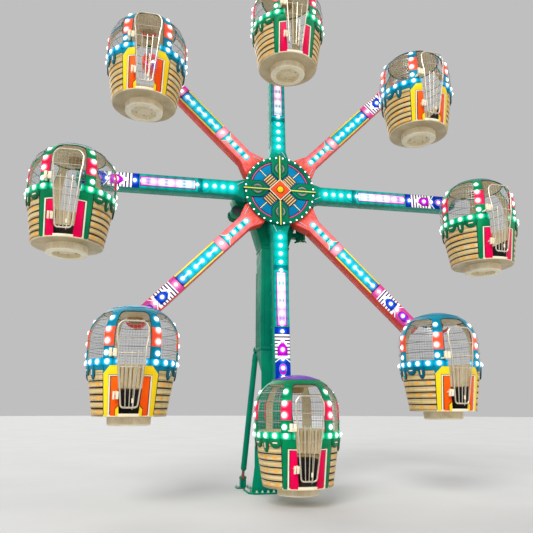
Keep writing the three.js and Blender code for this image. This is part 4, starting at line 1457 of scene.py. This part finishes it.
# Hub disc, drawn in the front view about the hub's middle, its front in the plane y = 0
def ring_sector(inner, outer, start, end, steps=10):
    angles = [start + (end - start) * n / steps for n in range(steps + 1)]
    return [(radius * math.cos(a), radius * math.sin(a))
            for radius, row in ((outer, angles), (inner, angles[::-1])) for a in row]


def swung(outline, angle):
    c, s = math.cos(angle), math.sin(angle)
    return [(x * c - z * s, x * s + z * c) for x, z in outline]


HUB_FACE = ("hub_green", "hub_blue", "rose", "ivory", "black", "gold_bar", "diamond", "yellow", "crescent",
            "lemon", "bronze")
QUADRANT_REACH = math.radians(31)
PETAL = [(0.235, 0.0), (0.3, 0.078), (0.39, 0.165), (0.45, 0.182), (0.68, 0.184)]


def quadrant(bm, middle):
    """A blue field with its pale diagonal line, rose arc and ribbed bars, each bar a pale strip over a wider
    brown one that paints the shade on its edges.
    """
    blue, rose, ivory, black, gold, bronze = 1, 2, 3, 4, 5, 10
    start, end = middle - QUADRANT_REACH, middle + QUADRANT_REACH
    beside = math.radians(2.2)
    for inner, outer, low, high, number, level, edge in (
            (0.2, 0.676, start, end, black, 1, 0), (0.24, 0.62, start, middle - beside, blue, 2, 0.001),
            (0.24, 0.62, middle + beside, end, blue, 2, 0.001), (0.638, 0.668, start, end, rose, 2, 0.001)):
        lay(bm, ring_sector(inner, outer, low, high), number, level, edge)
    bars = [(0.4, 0.634, 0.019, black, 3, 0), (0.4, 0.628, 0.0105, ivory, 4, 0.001),
            (0.18, 0.428, 0.122, black, 4, 0)]
    # Each bar: a wider brown plate as painted shade on its edges, under its pale top
    for x in (0.2 + 0.057 * n for n in range(4)):
        bars += [(x - 0.003, x + 0.04, 0.113, bronze, 5, 0.003), (x + 0.007, x + 0.03, 0.11, gold, 6, 0.005)]
    for low, high, half, number, level, edge in bars:
        lay(bm, swung(band(low, high, half), middle), number, level, edge)


def petal(bm, turned):
    """A green petal with an outlined oval, its two crescents and the yellow spoke over them."""
    green, black, crescent, lemon = 0, 4, 8, 9
    outline = both_sides(PETAL)[:-1]
    lay(bm, swung([(x * 0.97 - 0.002, z * 1.07) for x, z in outline], turned), black, 7, 0, 0.026)
    longer = outline[:4] + [(0.735, 0.184), (0.735, -0.184)] + outline[6:]
    lay(bm, swung(longer, turned), green, 8, 0.003, 0.02)
    for length, width, number, level in ((0.152, 0.13, black, 9), (0.143, 0.121, green, 10)):
        lay(bm, swung(oval(0.5, length, width, 32), turned), number, level, 0)
    arc = [math.radians(-62 + 124 * n / 12) for n in range(13)]
    for side in (1, -1):
        for grow, number, level in ((0.007, black, 11), (0.0, crescent, 12)):
            outer = [(0.5 + (0.102 + grow) * math.sin(a), side * (0.104 + grow) * math.cos(a)) for a in arc]
            inner = [(0.5 + 0.102 * math.sin(a), side * (0.068 - grow) * math.cos(a)) for a in arc[-2:0:-1]]
            lay(bm, swung(outer + inner, turned), number, level, 0)
    for end, half, number, level, edge in ((0.812, 0.0185, black, 13, 0), (0.807, 0.013, lemon, 14, 0.003)):
        lay(bm, swung(band(0.24, end, half), turned), number, level, edge)


def hub_face():
    """The decorated disc: blue quadrants, green petals, ribbed bars and an orange diamond with its boss."""
    bm = bmesh.new()
    green, ivory, black, orange, yellow = 0, 3, 4, 6, 7
    rod(bm, (0, DISC_THICKNESS, 0), (0, 0, 0), DISC_RADIUS, green, 96)
    for n in range(4):
        quadrant(bm, math.pi / 4 + n * math.pi / 2)
        petal(bm, n * math.pi / 2)
    for inner, outer, number, level in (
            (DISC_RIM_INNER, 0.7, black, 5), (0.68, DISC_RADIUS - 0.003, green, 6)):
        lay(bm, ring_sector(inner, outer, 0, math.tau * 0.9999, 96), number, level, 0.002)
    for step, (size, number) in enumerate(((0.268, black), (0.256, ivory), (0.226, black), (0.215, orange))):
        lay(bm, [(size, 0), (0, size), (-size, 0), (0, -size)], number, 13 + step)
    lay(bm, oval(0, 0.086, 0.086, 32), black, 17, 0)
    dome(bm, Matrix.Translation((0, -LAYER * 17, 0)), (0.072, 0.03, 0.072), yellow, 24, 12)
    return bm


def hub_lamps():
    """The lamps in the disc's rim, and the bright stays beside the roots of the arms."""
    bm = bmesh.new()
    for n in range(DISC_LAMPS):
        angle = math.tau * (n + 0.5) / DISC_LAMPS
        place = (DISC_LAMP_CIRCLE * math.cos(angle), -LAYER * 6, DISC_LAMP_CIRCLE * math.sin(angle))
        lamp(bm, place, (0, -1, 0), DISC_LAMP_RADIUS, 0.016)
    for n in range(ARM_COUNT):
        stay = [(0.79, -0.19), (0.97, -0.135)] if n % 2 else [(0.8, -0.15), (0.94, -0.075)]
        (x0, z0), (x1, z1) = swung(stay, n * ARM_PITCH)
        rod(bm, (x0, DISC_THICKNESS - 0.02, z0), (x1, DISC_THICKNESS - 0.006, z1), 0.007, 1)
    return bm


# Mast
def dressed(node):
    """A CAD solid's own shape as one clean mesh with its sharp edges broken."""
    bm = bmesh.new()
    bm.from_mesh(frame["nodes"][node].data)
    bmesh.ops.remove_doubles(bm, verts=bm.verts, dist=1e-5)
    bmesh.ops.dissolve_limit(bm, angle_limit=math.radians(1.5), verts=bm.verts, edges=bm.edges)
    sharp = [e for e in bm.edges if len(e.link_faces) == 2 and e.calc_face_angle(0) > math.radians(20)]
    bevel(bm, sharp, 0.006)
    mark(bm.faces, 0)
    return bm


def flange_bolts():
    """Holding-down bolts with washers and nuts round the flange."""
    bm = bmesh.new()
    low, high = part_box("base_flange")
    inset, pitch = 0.05, 0.114
    places = [((n - 3.5) * pitch, y) for y in (low.y + inset, high.y - inset) for n in range(8)]
    places += [(x, (n - 1.5) * pitch) for x in (low.x + inset, high.x - inset) for n in range(4)]
    for x, y in places:
        bolt(bm, (x, y, high.z), (0, 0, 1), 0.027)
    return bm


def cover(bm, half_width, foot, head, front, back, rows, columns):
    """A cover plate on the mast's back, with bolts along its edges."""
    block(bm, (-half_width, front, foot), (half_width, back, head), 0, 0.003)
    for row in range(rows):
        for column in range(columns):
            if row in (0, rows - 1) or column in (0, columns - 1):
                x = (half_width - 0.03) * (2 * column / (columns - 1) - 1)
                z = (foot + head) / 2 + ((head - foot) / 2 - 0.03) * (2 * row / (rows - 1) - 1)
                bolt(bm, (x, back, z), (0, 1, 0), 0.011, 1)


def mast_trim():
    """Weld seams, the sleeve's collar, its toothed rack, covers and the slewing ring's bolts."""
    bm = bmesh.new()
    low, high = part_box("upper_mast")
    foot, head = low.z + 0.09, high.z - 0.02
    for side in (1, -1):
        face = side * high.x
        for y in (low.y + 0.13, 0.02, high.y - 0.13):
            block(bm, (face - 0.004, y - 0.007, foot), (face + 0.006, y + 0.007, head), 0, 0.003)
        for x in (side * 0.1, side * 0.24):
            block(bm, (x - 0.007, low.y - 0.006, foot), (x + 0.007, low.y + 0.004, head), 0, 0.003)
        for n in range(30):
            z = low.z + 0.12 + 0.056 * n
            block(bm, (face - 0.004, high.y - 0.07, z),
                  (face + side * 0.016, high.y - 0.012, z + 0.024), 0, 0.002)
    grow = 0.012
    for z, tall in ((low.z + 0.01, 0.07), (high.z - 0.05, 0.04)):
        block(bm, (low.x - grow, low.y - grow, z), (high.x + grow, high.y + grow, z + tall), 0, 0.004)
    cover(bm, 0.2, 3.3, 3.9, high.y - 0.002, high.y + 0.008, 4, 3)
    low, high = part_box("mast_head")
    cover(bm, 0.42, HUB.z - 0.42, HUB.z + 0.32, high.y - 0.002, high.y + 0.01, 5, 6)
    bolt_circle(bm, (0, low.y, HUB.z), 0.5, 24, (0, -1, 0), 0.014)
    return bm


# Half of the head's outline, from the hub's middle
HEAD_OUTLINE = ((0.29, -1.12), (0.44, -0.63), (0.6, -0.39), (0.86, -0.19), (0.9, 0.0), (0.78, 0.21),
                (0.53, 0.38), (0.25, 0.51))


def head_front():
    """The head's front plate, doubled by a slightly smaller one that follows its outline."""
    bm = bmesh.new()
    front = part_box("mast_head")[0].y
    outline = [(x, z + HUB.z) for x, z in HEAD_OUTLINE]
    plate(bm, both_ends(outline), front - 0.008, front + 0.004, 0, edge=0.004)
    return bm


def left_drive_trim():
    """Cooling fins, end bell and terminal box of the motor under the left shoulder."""
    bm = bmesh.new()
    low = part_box("left_drive")[0]
    radius = 0.122
    x, z = low.x + radius, low.z + radius
    for y in (-0.1 + 0.025 * n for n in range(9)):
        rod(bm, (x, y, z), (x, y + 0.007, z), radius + 0.009, 0, 28)
    rod(bm, (x, low.y - 0.004, z), (x, low.y + 0.03, z), radius - 0.022, 1, 24)
    bolt_circle(bm, (x, low.y, z), 0.105, 8, (0, -1, 0), 0.009)
    block(bm, (x - radius - 0.03, -0.06, z - 0.045), (x - radius + 0.03, 0.05, z + 0.045), 0, 0.006)
    return bm


def right_drive_trim():
    """Flange bolts and ribs of the gearbox under the right shoulder."""
    bm = bmesh.new()
    low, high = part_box("right_drive")
    x, y = 0.64, -0.06
    discs = [(low.z - 0.012, low.z + 0.002, 0.14, 1, 28), (high.z - 0.004, high.z + 0.03, 0.06, 1, 20)]
    discs += [(z, z + 0.007, 0.114, 0, 28) for z in (low.z + 0.1 + 0.025 * n for n in range(6))]
    for start, end, radius, number, sides in discs:
        rod(bm, (x, y, start), (x, y, end), radius, number, sides)
    bolt_circle(bm, (x, y, low.z + 0.037), 0.122, 10, (0, 0, 1), 0.01)
    return bm


# The middles of the left and right props' upper pins and feet, for side -1 and 1
PROP_PIN = (0.29, 0.37, 2.87)
PROP_FOOT = (0.51, 0.59, 0.25)


def prop(side):
    """A rear prop: lugs and pin behind the column, a painted tube, and the bare rusty rod in the clevis."""
    bm = bmesh.new()
    top, foot = [Vector((side * x, y, z)) for x, y, z in (PROP_PIN, PROP_FOOT)]
    down = (foot - top).normalized()
    length = (foot - top).length
    end = length * 0.95
    for start, stop, radius, number, sides, end_radius in (
            (0.1, end, 0.061, 0, 24, None), (0.03, 0.1, 0.034, 0, 24, 0.061),
            (end, length * 0.964, 0.061, 0, 24, 0.036), (0.22, 0.25, 0.066, 0, 24, None),
            (length * 0.96, length, 0.03, 1, 16, None), (-0.02, 0.04, 0.034, 0, 20, None)):
        rod(bm, top + down * start, top + down * stop, radius, number, sides, end_radius)
    block(bm, foot - Vector((0.033, 0.044, 0.094)), foot + Vector((0.033, 0.044, 0.01)), 1, 0.014)
    for x in (top.x - 0.042, top.x + 0.042):
        lug = [(x - 0.011, y, z) for y, z in ((0.296, 2.8), (0.406, 2.83), (0.406, 2.9), (0.296, 2.935))]
        prism(bm, lug, (0.022, 0, 0), 0, 0.02)
    for middle, half in ((top, Vector((0.062, 0, 0))), (foot - Vector((0, 0, 0.05)), Vector((0.075, 0, 0)))):
        rod(bm, middle - half, middle + half, 0.018, 1, 14)
    return bm


def foot_bolts(side):
    bm = bmesh.new()
    for x in (-0.12, 0.12):
        for y in (-0.09, 0.09):
            bolt(bm, (side * PROP_FOOT[0] + x, PROP_FOOT[1] + y, 0.026), (0, 0, 1), 0.016)
    return bm


# Floor, light and camera
FLOOR_GREYS = ((0.6, 0.6, 0.59), (0.64, 0.64, 0.63))
SKY_COLOUR = (0.84, 0.84, 0.85, 1)
SKY_STRENGTH = 0.62
# Suns: strength, spread in degrees, direction of their light
SUNS = {
    "key": (2.2, 30, (0.45, 0.75, -0.6)),
    "fill": (0.7, 60, (-0.8, 0.5, -0.35)),
    "back": (0.9, 50, (0.2, -0.8, -0.6)),
}


def set_stage():
    bm = bmesh.new()
    bmesh.ops.create_circle(bm, cap_ends=True, segments=96, radius=110)
    mesh = bpy.data.meshes.new("studio_floor")
    bm.to_mesh(mesh)
    bm.free()
    made = Finish("pale_floor", 0.75)
    made.give("Base Color", made.blend(made.patches(0.4, 3.0, (0.3, 0.7)), *FLOOR_GREYS))
    mesh.materials.append(made.material)
    floor = show(mesh, "studio_floor")
    world = bpy.data.worlds.new("studio")
    world.use_nodes = True
    sky = world.node_tree.nodes["Background"].inputs
    sky["Color"].default_value = SKY_COLOUR
    sky["Strength"].default_value = SKY_STRENGTH
    bpy.context.scene.world = world
    for name, (strength, spread, toward) in SUNS.items():
        light = bpy.data.lights.new(name, "SUN")
        light.energy = strength
        light.angle = math.radians(spread)
        show(light, name).rotation_euler = Vector(toward).to_track_quat("-Z", "Y").to_euler()


def set_camera():
    level = math.cos(CAMERA_PITCH)
    ahead = Vector((math.sin(CAMERA_YAW) * level, math.cos(CAMERA_YAW) * level, math.sin(CAMERA_PITCH)))
    right = Vector((math.cos(CAMERA_YAW), -math.sin(CAMERA_YAW), 0))
    up = right.cross(ahead)
    cosine, sine = math.cos(CAMERA_ROLL), math.sin(CAMERA_ROLL)
    rolled = Matrix((right * cosine + up * sine, up * cosine - right * sine, -ahead)).transposed()
    lens_data = bpy.data.cameras.new("camera")
    lens_data.lens = CAMERA_LENS
    lens_data.sensor_width = 36
    lens_data.clip_end = 400
    camera = show(lens_data, "camera")
    camera.matrix_world = Matrix.Translation(CAMERA_PLACE) @ rolled.to_4x4()
    bpy.context.scene.camera = camera
    bpy.context.scene.view_settings.view_transform = "Standard"


set_camera()
set_stage()

# What differs between cabins on green arms and on coral ones
SCHEMES = {
    # On green cabins the cap's violet is a painted reflection of the arms' magenta lamp light
    "green": {"paint": "green", "cap": "plum", "surround": ("green", "ivory", "pink", "black", "green"),
              "middle": "rib_pink", "surround_slot": "pink_paint", "chamfered": False,
              "drapes": (math.radians(45), 8, (SWAG, TONGUE))},
    "blue": {"paint": "blue", "cap": "blue", "surround": ("yellow", "ivory", "orange", "black", "blue"),
             "middle": "rib_orange", "surround_slot": "yellow_paint", "chamfered": True,
             "drapes": (math.radians(56), 7, (TONGUE, SWAG))},
}


def cabin_meshes(scheme):
    """Every piece of a cabin in one colour scheme: (name, mesh, slot, nodes that it replaces)."""
    paint, chamfered = scheme["paint"], scheme["chamfered"]
    slot, cream, cage, tub = paint + "_paint", "cream_gelcoat", ("cage",), ("tub",)
    rows = [("crescent", crescent(), ("coral",), "coral_paint", cage)] if chamfered else []
    rows += [
        ("waist_ring", waist_ring(), ("ring_" + paint, "cream"), slot, cage),
        ("ribs", ribs(), ("rib_" + paint, scheme["middle"], "cream"), slot, cage),
        ("roof", roof(), (paint, scheme["cap"]), slot, cage),
        ("ceiling", ceiling(), ("cream", "tan"), cream, cage),
        ("bearing", bearing_flange(), (paint, "dark_steel"), slot, cage),
        ("wires", cage_wires(), ("wire", "dark_steel"), "bright_wire", cage),
        ("lamps", cabin_lamps(), ("lamp", "collar"), "lamp_white", ()),
        ("siding", siding(), ("siding",), "gold_panels", tub),
        ("tub_look", tub_shell(), ("black", "cream", "wire", "ivory", "sand", "skirt"), cream, tub),
        ("benches", benches(), ("tan", "well"), cream, tub),
        ("seat_backs", seat_backs(), ("cream",), cream, tub),
        ("surround", door_surround(chamfered), scheme["surround"], scheme["surround_slot"], tub),
        ("drapes", drapes(*scheme["drapes"]), (paint, "black", "ivory"), slot, tub),
        ("hinges", hinge_lugs(), ("ivory",), cream, ("tub", "cage")),
    ]
    return [(name, mesh_of(bm, name, finishes), *rest) for name, bm, finishes, *rest in rows]


door_mesh = mesh_of(door_leaf(), "door_leaf", ("door", "wire", "ivory"))
arm_lamp_mesh = mesh_of(arm_lamps(), "arm_lamps", ("lamp", "collar"))
arm_meshes = {
    "green": (mesh_of(arm_beam(GREEN_FLARE), "green_arm", ("arm_green", "bolt", "wire")),
              mesh_of(green_arm_face(), "green_face", GREEN_ARM)),
    "coral": (mesh_of(arm_beam(CORAL_FLARE), "coral_arm", ("coral", "bolt", "wire")),
              mesh_of(coral_arm_face(), "coral_face", CORAL_ARM)),
}
schemes = {name: cabin_meshes(scheme) for name, scheme in SCHEMES.items()}

PHASE = math.radians(0.84)
for number in range(1, ARM_COUNT + 1):
    colour, cabin_colour = ("green", "green") if number % 2 else ("coral", "blue")
    arm, cabin = f"arm_{number}", f"cabin_{number}"
    arm_at = Matrix.Translation(HUB) @ Matrix.Rotation(-PHASE - (number - 1) * ARM_PITCH, 4, "Y")
    beam, face = arm_meshes[colour]
    stand(arm + "_beam", beam, "wheel", colour + "_paint", arm_at, (arm,))
    stand(arm + "_face", face, "wheel", "lamp_strip", arm_at, (arm,))
    stand(arm + "_lamps", arm_lamp_mesh, "wheel", "lamp_white", arm_at)
    pivot = next(j["pos_m"] for j in frame["joints"] if j["name"] == cabin + "_swing")
    cabin_at = Matrix.Translation(Vector(pivot) - Vector((0, 0, PIVOT_ABOVE_RING)))
    for name, mesh, slot, nodes in schemes[cabin_colour]:
        stand(f"{cabin}_{name}", mesh, cabin, slot, cabin_at, [f"{cabin}_{node}" for node in nodes])
    stand(cabin + "_door_leaf", door_mesh, f"door_{number}", "door_steel", cabin_at, (cabin + "_door",))

# Single pieces: name, shape, finishes, body, slot, nodes that each replaces, place
disc_at = Matrix.Translation(HUB + Vector((0, -0.0003 - DISC_THICKNESS, 0))) @ Matrix.Rotation(-PHASE, 4, "Y")
painted, lamps = ("mast_green",), ("lamp", "collar")
PLAIN_NODES = ("base_flange", "lower_mast", "upper_mast", "mast_head", "left_drive", "right_drive",
               "left_prop_foot", "right_prop_foot")
SINGLES = [
    ("hub_face", hub_face(), HUB_FACE, "wheel", "green_paint", ("hub_disc",), disc_at),
    ("hub_lamps", hub_lamps(), lamps, "wheel", "lamp_white", (), disc_at),
    ("hub_frame", dressed("wheel_hub"), ("arm_green",), "wheel", "green_paint", ("wheel_hub",)),
    *[(node + "_shell", dressed(node), painted, "root", "green_paint", (node,)) for node in PLAIN_NODES],
    ("slewing_ring_shell", dressed("slewing_ring"), ("dark_steel",), "root", "dark_steel", ("slewing_ring",)),
    ("flange_bolts", flange_bolts(), ("bolt",), "root", "bright_wire", ()),
    ("mast_trim", mast_trim(), ("mast_green", "bolt"), "root", "green_paint", ()),
    ("head_front", head_front(), painted, "root", "green_paint", ()),
    ("left_drive_trim", left_drive_trim(), ("mast_green", "dark_steel"), "root", "green_paint", ()),
    ("right_drive_trim", right_drive_trim(), ("mast_green", "bolt"), "root", "green_paint", ()),
]
for word, side in (("left", -1), ("right", 1)):
    node = word + "_prop"
    SINGLES.append((node + "_look", prop(side), ("mast_green", "rust"), "root", "green_paint", (node,)))
    SINGLES.append((word + "_foot_bolts", foot_bolts(side), ("bolt",), "root", "bright_wire", ()))
for name, bm, finishes, body, slot, nodes, *place in SINGLES:
    stand(name, mesh_of(bm, name, finishes), body, slot, *(place or [None]), nodes)
